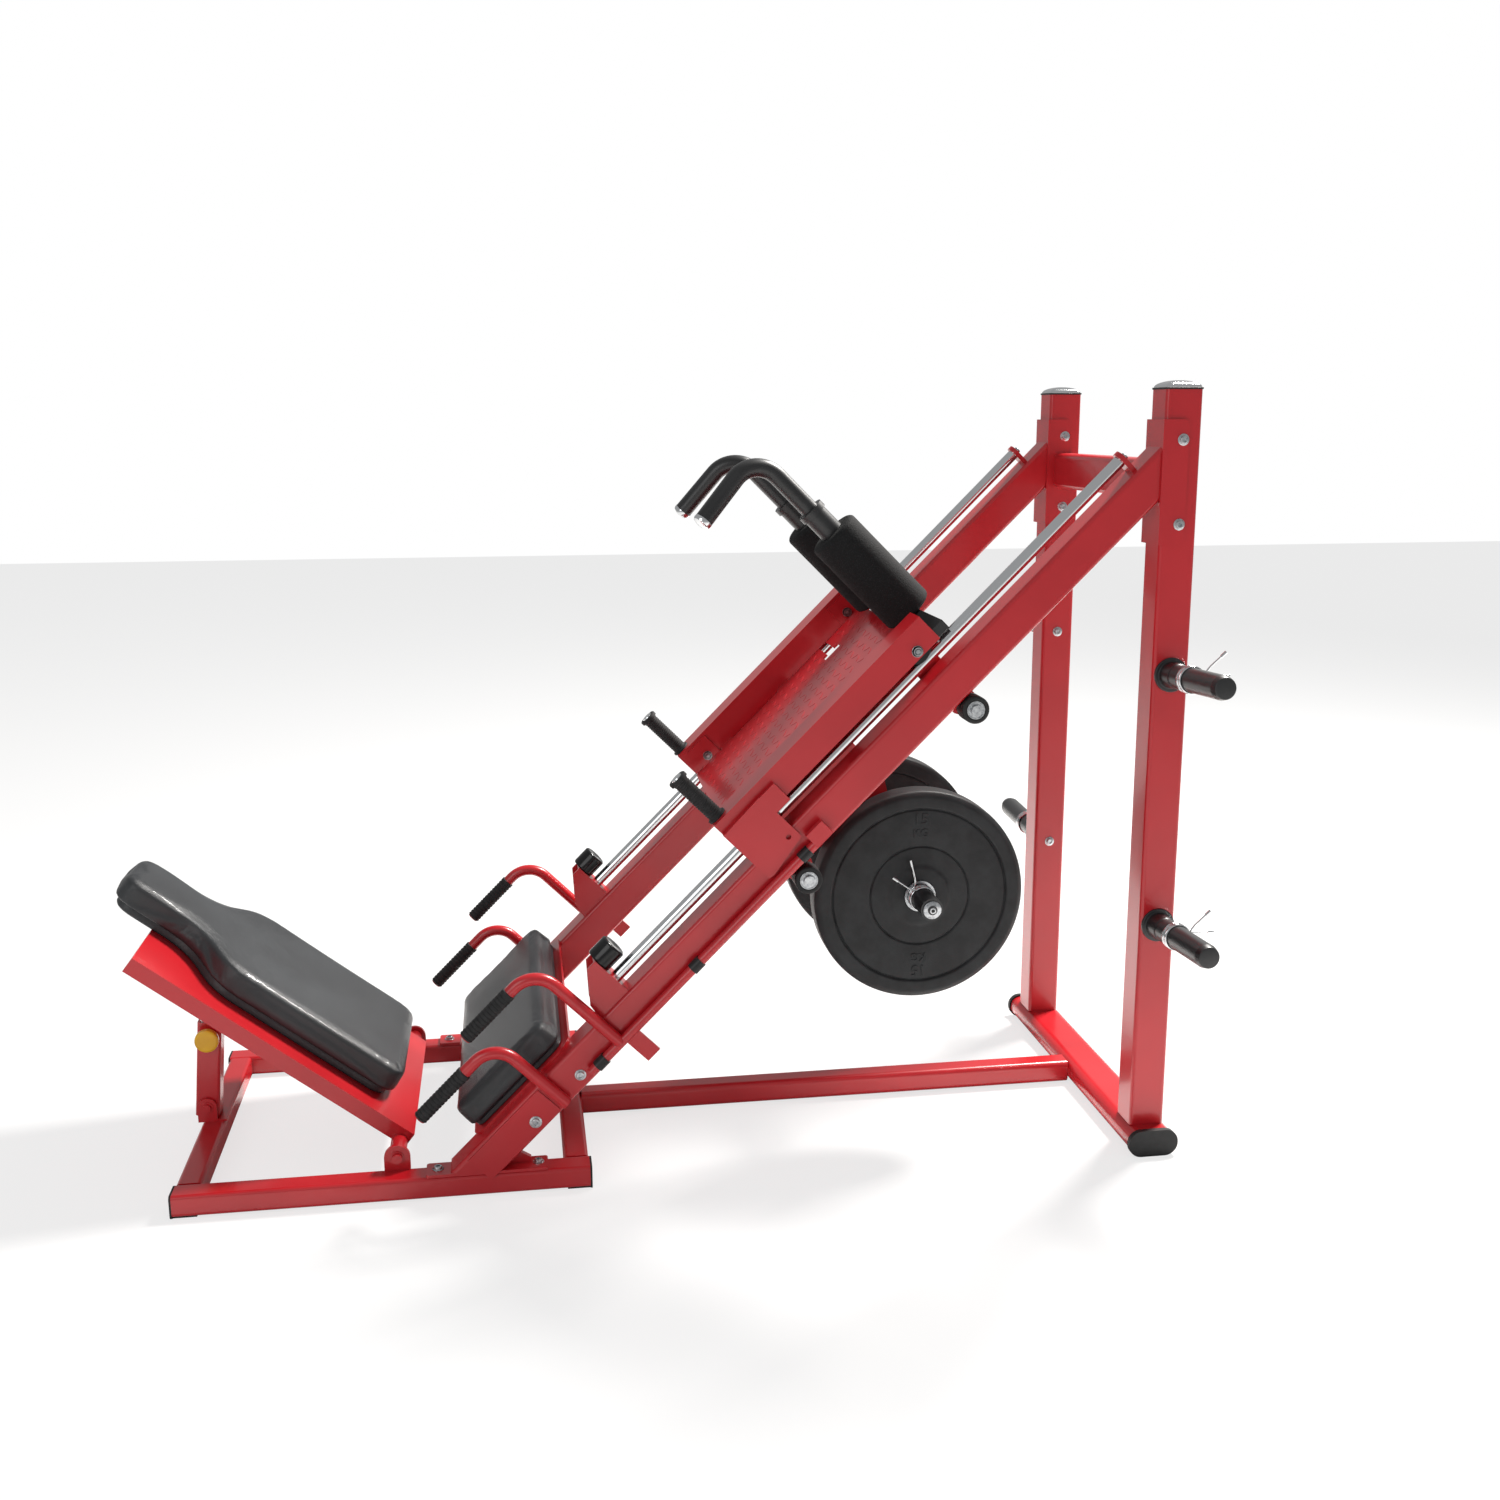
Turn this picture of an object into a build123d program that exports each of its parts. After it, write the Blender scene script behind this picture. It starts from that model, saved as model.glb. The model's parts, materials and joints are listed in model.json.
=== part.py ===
from build123d import *
import os
from math import sin, cos, radians, sqrt, tan, atan2, degrees

os.makedirs("parts", exist_ok=True)

# ---------------------------------------------------------------- driving sizes, mm
rail_x0 = -266.5            # where the rail line meets the floor, from the machine's middle
rail_angle = 45.0
half_width = 370.5          # outer face of side tubes, rails and posts
rail_tube = 75.0            # square rail and post tube
tube_wall = 3.0
tube_corner = 8.0
pad_height = 4.0            # rubber under the base

base_wide = 55.0
base_tall = 45.0
base_front = -704.0         # from the rail line's foot
base_rear = 121.5
inner_cross_x = 66.0
cross_wide = 50.0
beam_wide = 55.0
beam_tall = 50.0
post_x = 1303.5
post_top = 1587.0
rear_base_wide = 100.0
rear_base_half = 400.0
rear_cap = 12.0
brace_low = 1371.0
brace_high = 1452.0

rail_low = 78.0             # rail's under face, square to the rail line
rod_radius = 12.5
rod_height = 183.0
rod_start = 439.0
rod_end = 1866.0
lug_thick = 10.0
bumper_height = 232.0
bumper_radius = 27.5
bumper_long = 45.0
gusset_thick = 5.0
foot_plate = 6.0
bracket_thick = 5.0
bracket_low = 1287.0
bracket_high = 1530.0
bracket_reach = 1314.0

seat_plate_thick = 6.0
seat_long = 275.0
seat_half = 335.0
seat_pad_high = 65.0

handle_radius = 12.5
grip_radius = 15.0
handle_y = 383.0            # lower handles beside the rails
lower_riser = 191.0
lower_grip_height = 283.0
lower_bend = 55.0
lower_grip_end = -24.0
lower_grip_start = 107.0

lever_y = 384.5             # safety lever's shaft beside the rails
lever_height = 95.5
shaft_radius = 10.0
shaft_start = 270.0
shaft_end = 951.0
lever_riser = 355.0
lever_grip_height = 331.0
lever_bend = 57.0
lever_grip_end = 158.0
lever_grip_start = 285.0
running = 0.05              # running clearance on a radius
bushing_radius = 12.5
bushing_long = 25.0

sled_low = 808.0            # lower end of the sled's channels
sled_high = 1370.0
channel_low = 201.6
channel_high = 263.2
channel_in = 293.5
channel_out = 363.0
channel_wall = 5.0
roller_low = 847.0          # roller axles along the rails
roller_high = 1320.0
upper_axle = 216.0
upper_roller_radius = 28.0
roll_radius = 20.5
upper_roller_wide = 40.0
under_radius = 28.0
under_gap = 1.5             # lower rollers hang just clear of the rails
under_in = 328.0
under_out = 378.0
axle_radius = 8.0
hanger_thick = 6.0
tread_top = 211.0
tread_thick = 5.0
tread_half = 252.0
cheek_in = 373.0
cheek_thick = 6.0
sled_tube_low = 165.0
sled_tube_tall = 40.0
grip_post_radius = 16.5
grip_post_top = 381.0

bar_low = 203.5
bar_high = 224.0
bar_thick = 28.0
bar_half = 359.0
column_y = 147.5
column_s = 1384.0
socket_radius = 25.5
socket_top = 527.0
column_radius = 19.0
column_bend = 60.0
column_high = 688.0
column_tip = 1211.0
column_spread = 184.0
foam_radius = 55.0
foam_low = 226.0
foam_high = 462.0

peg_s = 972.0               # load peg, square to the machine's side
peg_p = -211.0
peg_radius = 24.0
peg_in = 139.0
peg_out = 312.0
hanger_plate = 8.0
disc_radius = 228.0
disc_thick = 68.0
disc_in = 146.5
disc_bore = 25.2
disc_hub = 33.0
collar_wire = 4.0

store_high = 1027.0         # storage pegs on the posts
store_low = 501.0
store_long = 250.0
store_tilt = 3.0
sleeve_radius = 26.0

back_angle = 38.2           # backrest's slope at rest
back_pivot_x = -268.0
back_pivot_z = 76.0
back_plate_high = 29.5      # plate's top above the pivot
back_low = -16.3
back_long = 667.0
back_half = 251.0
back_flange = 33.0
back_thick = 3.0
back_base_high = 18.0
back_pad_high = 51.0
sleeve_out = 315.0
ear_thick = 8.0
strut_x = -688.0
strut_z = 82.0
strut_top_u = 499.5         # strut's upper pivot up the backrest
strut_top_w = -2.4
strut_outer_long = 190.0
strut_outer_tube = 50.0
strut_inner_tube = 40.0
strut_slide_gap = 0.5
pin_along = 160.0
hole_pitch = 36.5

# ---------------------------------------------------------------- derived places
ca = cos(radians(rail_angle))
sa = sin(radians(rail_angle))
base_top = pad_height + base_tall
beam_top = pad_height + beam_tall
rail_top = rail_low + rail_tube
rail_mid = rail_low + rail_tube / 2
rail_y = half_width - rail_tube / 2
rail_in = half_width - rail_tube
post_front = post_x - rail_tube / 2
front_plate_x = post_front - bracket_thick
seat_top = rail_top + seat_plate_thick
under_axle = rail_low - under_gap - under_radius
store_y = half_width
cb = cos(radians(back_angle))
sb = sin(radians(back_angle))
SIDES = (("near", -1), ("far", 1))


def along(s, p, y=0.0):
    """A point given along the rail line, square to it, and sideways."""
    return Vector(rail_x0 + s * ca - p * sa, y, s * sa + p * ca)


def side_plane(y):
    """Sideways plane in the rail's slope: local x runs up the rail; it faces -Y."""
    return Plane(origin=(rail_x0, y, 0), x_dir=(ca, 0, sa), z_dir=(0, -1, 0))


def cut_plane(s):
    """Plane square to the rail at a length s: local x is world y."""
    return Plane(origin=along(s, 0), x_dir=(0, 1, 0), z_dir=(ca, 0, sa))


def lift_plane(p):
    """Plane lying along the rail at a height p: local x runs up the rail."""
    return Plane(origin=along(0, p), x_dir=(ca, 0, sa), z_dir=(-sa, 0, ca))


def world_side(y):
    """Upright plane along the machine, facing -Y."""
    return Plane(origin=(rail_x0, y, 0), x_dir=(1, 0, 0), z_dir=(0, -1, 0))


def across(x):
    """Upright plane square to the machine's length."""
    return Plane(origin=(rail_x0 + x, 0, 0), x_dir=(0, 1, 0), z_dir=(1, 0, 0))


def level(z):
    return Plane(origin=(rail_x0, 0, z), x_dir=(1, 0, 0), z_dir=(0, 0, 1))


def tube_outline(wide, tall, corner, wall):
    RectangleRounded(wide, tall, corner)
    if wall:
        RectangleRounded(wide - 2 * wall, tall - 2 * wall, corner - wall, mode=Mode.SUBTRACT)


def disc(plane, radius, amount, bore=0.0):
    """A round block standing off a plane, added to the piece being built."""
    with BuildSketch(plane, mode=Mode.PRIVATE) as face:
        Circle(radius)
        if bore:
            Circle(bore, mode=Mode.SUBTRACT)
    extrude(face.sketch, amount=amount)


def hex_bolt(plane, head=5.0, across_flats=17.0, washer=12.0):
    """A bolt's washer and its round head, standing off the plane."""
    disc(plane, washer, 1.6)
    disc(plane.offset(1.6), across_flats / 2, head)


# ---------------------------------------------------------------- base
with BuildPart() as base_tubes:
    for side in (-1, 1):
        with BuildSketch(across(base_front + pad_height)):
            with Locations((side * (half_width - base_wide / 2), pad_height + base_tall / 2)):
                tube_outline(base_wide, base_tall, tube_corner, tube_wall)
        extrude(amount=base_rear - base_front - 2 * pad_height)
base_tubes.part.label = "base_tubes"
export_step(base_tubes.part, "parts/base_tubes.step")

with BuildPart() as base_feet:
    foot_long = 50.0
    for side in (-1, 1):
        y = side * (half_width - base_wide / 2)
        for end, x in ((1, base_front), (-1, base_rear)):
            with BuildSketch(across(x)):
                with Locations((y, base_top / 2)):
                    RectangleRounded(base_wide, base_top, tube_corner)
            extrude(amount=end * pad_height)
            with BuildSketch(level(0)):
                with Locations((x + end * foot_long / 2, y)):
                    Rectangle(foot_long, base_wide - 2 * tube_corner)
            extrude(amount=pad_height)
base_feet.part.label = "base_feet"
export_step(base_feet.part, "parts/base_feet.step")

with BuildPart() as base_cross_tubes:
    front_x = base_front + pad_height + cross_wide / 2
    for x in (front_x, inner_cross_x + cross_wide / 2):
        with BuildSketch(world_side(half_width - base_wide)):
            with Locations((x, pad_height + base_tall / 2)):
                tube_outline(cross_wide, base_tall, tube_corner, tube_wall)
        extrude(amount=2 * (half_width - base_wide))
base_cross_tubes.part.label = "base_cross_tubes"
export_step(base_cross_tubes.part, "parts/base_cross_tubes.step")

with BuildPart() as center_beam:
    beam_start = inner_cross_x + cross_wide
    beam_end = post_x - rear_base_wide / 2
    with BuildSketch(across(beam_start)):
        with Locations((0, pad_height + beam_tall / 2)):
            tube_outline(beam_wide, beam_tall, 12.0, tube_wall)
    extrude(amount=beam_end - beam_start)
center_beam.part.label = "center_beam"
export_step(center_beam.part, "parts/center_beam.step")

with BuildPart() as rear_cross_base:
    with BuildSketch(world_side(rear_base_half)):
        with Locations((post_x, pad_height + beam_tall / 2)):
            tube_outline(rear_base_wide, beam_tall, 24.0, tube_wall)
    extrude(amount=2 * rear_base_half)
rear_cross_base.part.label = "rear_cross_base"
export_step(rear_cross_base.part, "parts/rear_cross_base.step")

with BuildPart() as rear_end_caps:
    cap_grow = 2 * pad_height
    for side in (-1, 1):
        with BuildSketch(world_side(side * rear_base_half)):
            with Locations((post_x, pad_height + beam_tall / 2)):
                RectangleRounded(rear_base_wide + cap_grow, beam_tall + cap_grow, 28.0)
        extrude(amount=-side * rear_cap)
        with BuildSketch(level(0)):
            with Locations((post_x, side * (rear_base_half - foot_long / 2))):
                Rectangle(rear_base_wide / 2, foot_long)
        extrude(amount=pad_height)
rear_end_caps.part.label = "rear_end_caps"
export_step(rear_end_caps.part, "parts/rear_end_caps.step")

# ---------------------------------------------------------------- posts
with BuildPart() as posts:
    for side in (-1, 1):
        with BuildSketch(level(beam_top)):
            with Locations((post_x, side * rail_y)):
                tube_outline(rail_tube, rail_tube, tube_corner, tube_wall)
        extrude(amount=post_top - beam_top)
posts.part.label = "posts"
export_step(posts.part, "parts/posts.step")

with BuildPart() as post_caps:
    gasket = 4.0
    dome_rise = 14.0
    dome_radius = (rail_tube ** 2 / 4 + dome_rise ** 2) / (2 * dome_rise)
    for side in (-1, 1):
        with BuildSketch(level(post_top)):
            with Locations((post_x, side * rail_y)):
                RectangleRounded(rail_tube + gasket, rail_tube + gasket, tube_corner + 2)
        extrude(amount=gasket)
        with BuildSketch(level(post_top + gasket)):
            with Locations((post_x, side * rail_y)):
                RectangleRounded(rail_tube, rail_tube, tube_corner)
        extrude(amount=dome_rise / 2)
        with BuildSketch(level(post_top + gasket + dome_rise / 2)):
            with Locations((post_x, side * rail_y)):
                RectangleRounded(rail_tube, rail_tube, tube_corner)
        extrude(amount=dome_rise / 2, taper=60)
post_caps.part.label = "post_caps"
export_step(post_caps.part, "parts/post_caps.step")

with BuildPart() as upper_cross_brace:
    brace_half = rail_in - bracket_thick
    with BuildSketch(world_side(brace_half)):
        with Locations((post_x, (brace_low + brace_high) / 2)):
            tube_outline(cross_wide, brace_high - brace_low, 12.0, tube_wall)
    extrude(amount=2 * brace_half)
upper_cross_brace.part.label = "upper_cross_brace"
export_step(upper_cross_brace.part, "parts/upper_cross_brace.step")

# ---------------------------------------------------------------- rails
rail_foot_z = base_top + foot_plate
lug_radius = 17.5
for name, side in SIDES:
    with BuildPart() as rail:
        with BuildSketch(cut_plane(-200)):
            with Locations((side * rail_y, rail_mid)):
                tube_outline(rail_tube, rail_tube, tube_corner, tube_wall)
        extrude(amount=2300)
        split(bisect_by=level(rail_foot_z), keep=Keep.TOP)
        rail_cut = Plane(origin=(rail_x0 + front_plate_x, 0, 0), z_dir=(-1, 0, 0))
        split(bisect_by=rail_cut, keep=Keep.TOP)
        with BuildSketch(cut_plane(rod_end)):
            with Locations((side * rail_y, rod_height)):
                Circle(lug_radius)
            with Locations((side * rail_y, (rail_top + rod_height) / 2)):
                Rectangle(2 * lug_radius, rod_height - rail_top)
        extrude(amount=lug_thick)
    rail.part.label = f"rail_{name}"
    export_step(rail.part, f"parts/rail_{name}.step")

with BuildPart() as rail_post_brackets:
    for side in (-1, 1):
        with BuildSketch(level(bracket_low)):
            with Locations(((front_plate_x + bracket_reach) / 2, side * rail_y)):
                Rectangle(bracket_reach - front_plate_x, rail_tube + 2 * bracket_thick)
            with Locations(((post_front + bracket_reach) / 2 + 5, side * rail_y)):
                Rectangle(bracket_reach - post_front + 10, rail_tube, mode=Mode.SUBTRACT)
        extrude(amount=bracket_high - bracket_low)
    far_edges = rail_post_brackets.edges().filter_by(Axis.Y)
    ends = [e for e in far_edges if abs(e.center().X - rail_x0 - bracket_reach) < 0.1]
    fillet(ends, radius=12.0)
rail_post_brackets.part.label = "rail_post_brackets"
export_step(rail_post_brackets.part, "parts/rail_post_brackets.step")

with BuildPart() as rail_foot_plates:
    lap_long = 170.0
    lap_thick = 4.0
    for side in (-1, 1):
        with BuildSketch(level(base_top)):
            with Locations((-88.5, side * (half_width - base_wide / 2))):
                RectangleRounded(243, base_wide - 1, 6.0)
        extrude(amount=foot_plate)
        with BuildSketch(world_side(side * rail_y)):
            with BuildLine():
                Polyline((-54.5, rail_foot_z), (0, rail_foot_z), (0, 64), (-28, 81.5), (-54.5, rail_foot_z))
            make_face()
        extrude(amount=6.0, both=True)
        with BuildSketch(side_plane(side * half_width)):
            with BuildLine():
                Polyline((-30, rail_low + 6), (lap_long, rail_low + 6), (lap_long, rail_top - 6),
                         (-30, rail_top - 6), (-30, rail_low + 6))
            make_face()
        extrude(amount=-side * lap_thick)
rail_foot_plates.part.label = "rail_foot_plates"
export_step(rail_foot_plates.part, "parts/rail_foot_plates.step")

with BuildPart() as guide_rods:
    for side in (-1, 1):
        with BuildSketch(cut_plane(rod_start)):
            with Locations((side * rail_y, rod_height)):
                Circle(rod_radius)
        extrude(amount=rod_end - rod_start)
guide_rods.part.label = "guide_rods"
export_step(guide_rods.part, "parts/guide_rods.step")

with BuildPart() as rod_gussets:
    gusset_half = 30.0
    gusset_top = 245.0
    for side in (-1, 1):
        with BuildSketch(cut_plane(rod_start)):
            with Locations((side * rail_y, (rail_top + gusset_top) / 2)):
                Rectangle(2 * gusset_half, gusset_top - rail_top)
        extrude(amount=-gusset_thick)
        for face in (-1, 1):
            wall_y = side * rail_y + face * (gusset_half - gusset_thick / 2)
            with BuildSketch(side_plane(wall_y)):
                with BuildLine():
                    Polyline((rod_start, rail_top), (rod_start, gusset_top), (417, gusset_top),
                             (366, 188), (359, rail_top), (rod_start, rail_top))
                make_face()
            extrude(amount=gusset_thick / 2, both=True)
rod_gussets.part.label = "rod_gussets"
export_step(rod_gussets.part, "parts/rod_gussets.step")

with BuildPart() as bumpers:
    for side in (-1, 1):
        with BuildSketch(cut_plane(rod_start)):
            with Locations((side * rail_y, bumper_height)):
                Circle(bumper_radius)
        extrude(amount=bumper_long)
    fillet(bumpers.edges().filter_by(GeomType.CIRCLE), radius=2.5)
bumpers.part.label = "bumpers"
export_step(bumpers.part, "parts/bumpers.step")

# ---------------------------------------------------------------- seat and lower handles
with BuildPart() as seat_plate:
    with BuildSketch(lift_plane(rail_top)):
        with Locations((seat_long / 2, 0)):
            RectangleRounded(seat_long, 2 * seat_half, 32.0)
    extrude(amount=seat_plate_thick)
seat_plate.part.label = "seat_plate"
export_step(seat_plate.part, "parts/seat_plate.step")

with BuildPart() as seat_pad:
    base_layer = 12.0
    inset = 5.0
    with BuildSketch(lift_plane(seat_top)):
        with Locations((seat_long / 2, 0)):
            RectangleRounded(seat_long - 4 * inset, 2 * (seat_half - 3 * inset), 26.0)
    extrude(amount=base_layer)
    with BuildSketch(lift_plane(seat_top + base_layer)):
        with Locations((seat_long / 2, 0)):
            RectangleRounded(seat_long - inset, 2 * (seat_half - inset), 34.0)
    extrude(amount=seat_pad_high - base_layer)
    upper = seat_pad.edges().filter_by(lambda e: abs(e.center().dot(Vector(-sa, 0, ca)) + rail_x0 * sa
                                                      - seat_top - seat_pad_high) < 0.5)
    fillet(upper, radius=18.0)
seat_pad.part.label = "seat_pad"
export_step(seat_pad.part, "parts/seat_pad.step")


with BuildPart() as lower_handles:
    for side in (-1, 1):
        y = side * handle_y
        with BuildLine() as run:
            FilletPolyline(along(lower_riser, 86, y), along(lower_riser, lower_grip_height, y),
                           along(lower_grip_end + 2, lower_grip_height, y), radius=lower_bend)
        with BuildSketch(Plane(origin=run.line @ 0, z_dir=run.line % 0)):
            Circle(handle_radius)
        sweep(path=run.line)
lower_handles.part.label = "lower_handles"
export_step(lower_handles.part, "parts/lower_handles.step")

with BuildPart() as lower_grips:
    for side in (-1, 1):
        with BuildSketch(cut_plane(lower_grip_end)):
            with Locations((side * handle_y, lower_grip_height)):
                Circle(grip_radius)
        extrude(amount=lower_grip_start - lower_grip_end)
        with BuildSketch(cut_plane(lower_grip_end + 2)):
            with Locations((side * handle_y, lower_grip_height)):
                Circle(handle_radius)
        extrude(amount=lower_grip_start - lower_grip_end, mode=Mode.SUBTRACT)
lower_grips.part.label = "lower_grips"
export_step(lower_grips.part, "parts/lower_grips.step")

# ---------------------------------------------------------------- storage pegs
tilt = radians(store_tilt)
STORE = [(z, side) for z in (store_high, store_low) for side in (-1, 1)]


def peg_plane(z, side, out=0.0):
    """Plane square to a storage peg, standing out from the post's side."""
    way = Vector(0, side * cos(tilt), sin(tilt))
    return Plane(origin=Vector(rail_x0 + post_x, side * store_y, z) + way * out, z_dir=way)


with BuildPart() as storage_pegs:
    flange = 6.0
    for z, side in STORE:
        with BuildSketch(world_side(side * store_y)):
            with Locations((post_x, z)):
                Circle(36.0)
        extrude(amount=-side * flange)
        with BuildSketch(peg_plane(z, side, 4.0)):
            Circle(sleeve_radius)
        extrude(amount=42.0)
        with BuildSketch(peg_plane(z, side, 40.0)):
            Circle(peg_radius)
        extrude(amount=store_long - 40.0)
    tips = storage_pegs.faces().filter_by(lambda f: abs(f.center().Y) > store_y + store_long - 12)
    fillet([e for f in tips for e in f.edges().filter_by(GeomType.CIRCLE)][:4], radius=3.0)
storage_pegs.part.label = "storage_pegs"
export_step(storage_pegs.part, "parts/storage_pegs.step")


def spring_collar(plane, radius, wide=26.0):
    """Spring collar: a closed coil band and two finger arms."""
    disc(plane, radius + 2 * collar_wire, wide, bore=radius + 0.3)
    for turn in (50, -5):
        arm = plane.offset(wide / 2 + turn / 10)
        reach = Vector(cos(radians(turn)), sin(radians(turn)))
        start = arm.from_local_coords(reach * (radius + collar_wire))
        tip = arm.from_local_coords(reach * (radius + 62))
        disc(Plane(origin=start, z_dir=tip - start), collar_wire, 58)


with BuildPart() as storage_collars:
    for z, side in STORE:
        spring_collar(peg_plane(z, side, 84.0), peg_radius)
storage_collars.part.label = "storage_collars"
export_step(storage_collars.part, "parts/storage_collars.step")

# ---------------------------------------------------------------- backrest


def back_side(y):
    """Sideways plane in the backrest's slope, centred on its pivot: x up the slope, y off it."""
    return Plane(origin=(rail_x0 + back_pivot_x, y, back_pivot_z), x_dir=(-cb, 0, sb), z_dir=(0, 1, 0))


def back_lift(w):
    """Plane lying along the backrest at a height w over its pivot."""
    origin = Vector(rail_x0 + back_pivot_x + w * sb, 0, back_pivot_z + w * cb)
    return Plane(origin=origin, x_dir=(-cb, 0, sb), z_dir=(sb, 0, cb))


back_mid = back_low + back_long / 2
pivot_radius = 8.0
with BuildPart() as backrest_frame:
    with BuildSketch(back_lift(back_plate_high)):
        with Locations((back_mid, 0)):
            Rectangle(back_long, 2 * back_half)
    extrude(amount=-back_flange)
    with BuildSketch(back_lift(back_plate_high - back_thick)):
        with Locations((back_mid, 0)):
            Rectangle(back_long - 2 * back_thick, 2 * (back_half - back_thick))
    extrude(amount=-back_flange, mode=Mode.SUBTRACT)
    with BuildSketch(back_side(-sleeve_out)):
        Circle(17.0)
    extrude(amount=2 * sleeve_out)
    with BuildSketch(back_side(-sleeve_out)):
        Circle(pivot_radius + running)
    extrude(amount=2 * sleeve_out, mode=Mode.SUBTRACT)
    for side in (-1, 1):
        with BuildSketch(back_side(side * 27.0)):
            with BuildLine():
                Polyline((strut_top_u - 22, back_plate_high - 2), (strut_top_u + 22, back_plate_high - 2),
                         (strut_top_u + 15, strut_top_w - 12), (strut_top_u - 15, strut_top_w - 12),
                         (strut_top_u - 22, back_plate_high - 2))
            make_face()
        extrude(amount=2.5, both=True)
    with BuildSketch(back_side(-33.0)):
        with Locations((strut_top_u, strut_top_w)):
            Circle(6.0)
    extrude(amount=66.0)
backrest_frame.part.label = "backrest_frame"
export_step(backrest_frame.part, "parts/backrest_frame.step")

with BuildPart() as backrest_pad:
    pad_low = back_low + 70.0
    pad_head = back_low + 780.0
    shoulder_low = back_low + 500.0
    shoulder_high = back_low + 590.0
    body_half = 196.0
    head_half = 92.0
    for low, high, grow in ((0.0, back_base_high, -14.0), (back_base_high, back_base_high + back_pad_high, 0.0)):
        with BuildSketch(back_lift(back_plate_high + low)):
            with BuildLine() as outline:
                FilletPolyline((pad_low - grow, 0), (pad_low - grow, body_half + grow),
                               (shoulder_low, body_half + grow), (shoulder_high, head_half + grow),
                               (pad_head + grow, head_half + grow), (pad_head + grow, 0), radius=30.0)
                mirror(outline.line, about=Plane.XZ)
            make_face()
        extrude(amount=high - low)
backrest_pad.part.label = "backrest_pad"
export_step(backrest_pad.part, "parts/backrest_pad.step")

with BuildPart() as backrest_ears:
    for side in (-1, 1):
        ear_y = side * (sleeve_out + 1.0)
        with BuildSketch(world_side(ear_y)):
            with Locations((back_pivot_x, back_pivot_z)):
                Circle(26.0)
            with Locations((back_pivot_x, (back_pivot_z + base_top) / 2)):
                Rectangle(52.0, back_pivot_z - base_top)
        extrude(amount=-side * ear_thick)
        with BuildSketch(world_side(ear_y)):
            with Locations((back_pivot_x, back_pivot_z)):
                Circle(pivot_radius)
        extrude(amount=side * 60.0)
        with BuildSketch(world_side(ear_y + side * ear_thick)):
            with Locations((back_pivot_x, back_pivot_z)):
                Circle(14.0)
        extrude(amount=-side * 2.0)
        with BuildSketch(world_side(ear_y + side * (ear_thick + 2.0))):
            with Locations((back_pivot_x, back_pivot_z)):
                Circle(10.0)
        extrude(amount=-side * 7.0)
    cut = level(base_top)
    split(bisect_by=cut, keep=Keep.TOP)
backrest_ears.part.label = "backrest_ears"
export_step(backrest_ears.part, "parts/backrest_ears.step")

# ---------------------------------------------------------------- strut
top_x = back_pivot_x - strut_top_u * cb + strut_top_w * sb
top_z = back_pivot_z + strut_top_u * sb + strut_top_w * cb
strut_long = sqrt((top_x - strut_x) ** 2 + (top_z - strut_z) ** 2)
strut_dir = Vector((top_x - strut_x) / strut_long, 0, (top_z - strut_z) / strut_long)
strut_side = Vector(strut_dir.Z, 0, -strut_dir.X)


def strut_cut(a):
    """Plane square to the strut at a length a above its lower pivot."""
    origin = Vector(rail_x0 + strut_x, 0, strut_z) + strut_dir * a
    return Plane(origin=origin, x_dir=strut_side, z_dir=strut_dir)


def strut_face(y):
    """Sideways plane on the strut's lower pivot: x across the strut, y up it; it faces -Y."""
    return Plane(origin=(rail_x0 + strut_x, y, strut_z), x_dir=strut_side, z_dir=(0, -1, 0))


with BuildPart() as strut_lug:
    lug_half = 33.0
    with BuildSketch(level(base_top)):
        with Locations((strut_x + 13, 0)):
            Rectangle(52.0, 2 * lug_half)
    extrude(amount=4.0)
    for side in (-1, 1):
        with BuildSketch(world_side(side * (lug_half - 3.0))):
            with Locations((strut_x, strut_z)):
                Circle(20.0)
            with Locations((strut_x, (strut_z + base_top) / 2)):
                Rectangle(40.0, strut_z - base_top)
        extrude(amount=3.0, both=True)
    with BuildSketch(world_side(lug_half)):
        with Locations((strut_x, strut_z)):
            Circle(pivot_radius)
    extrude(amount=2 * lug_half)
    for side in (-1, 1):
        hex_bolt(Plane(origin=(rail_x0 + strut_x, side * lug_half, strut_z), z_dir=(0, side, 0)), washer=13.0)
strut_lug.part.label = "strut_lug"
export_step(strut_lug.part, "parts/strut_lug.step")

pin_radius = 4.0
boss_radius = 13.0
with BuildPart() as strut_outer:
    with BuildSketch(strut_cut(-22.0)):
        tube_outline(strut_outer_tube, strut_outer_tube, 6.0, 4.5)
    extrude(amount=strut_outer_long + 22.0)
    with BuildSketch(strut_face(lug_half - 6.5)):
        Circle(pivot_radius + 4)
    extrude(amount=2 * (lug_half - 6.5))
    with BuildSketch(strut_face(40.0)):
        Circle(pivot_radius + running)
    extrude(amount=80.0, mode=Mode.SUBTRACT)
    with BuildSketch(strut_face(-strut_outer_tube / 2)):
        with Locations((0, pin_along)):
            Circle(boss_radius)
    extrude(amount=14.0)
    with BuildSketch(strut_face(-strut_outer_tube / 2 + 6.0)):
        with Locations((0, pin_along)):
            Circle(pin_radius + running)
    extrude(amount=24.0, mode=Mode.SUBTRACT)
    outer_bottom = Plane(origin=(rail_x0, 0, base_top + 4.5), z_dir=(0, 0, 1))
    split(bisect_by=outer_bottom, keep=Keep.TOP)
strut_outer.part.label = "strut_outer"
export_step(strut_outer.part, "parts/strut_outer.step")

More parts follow.
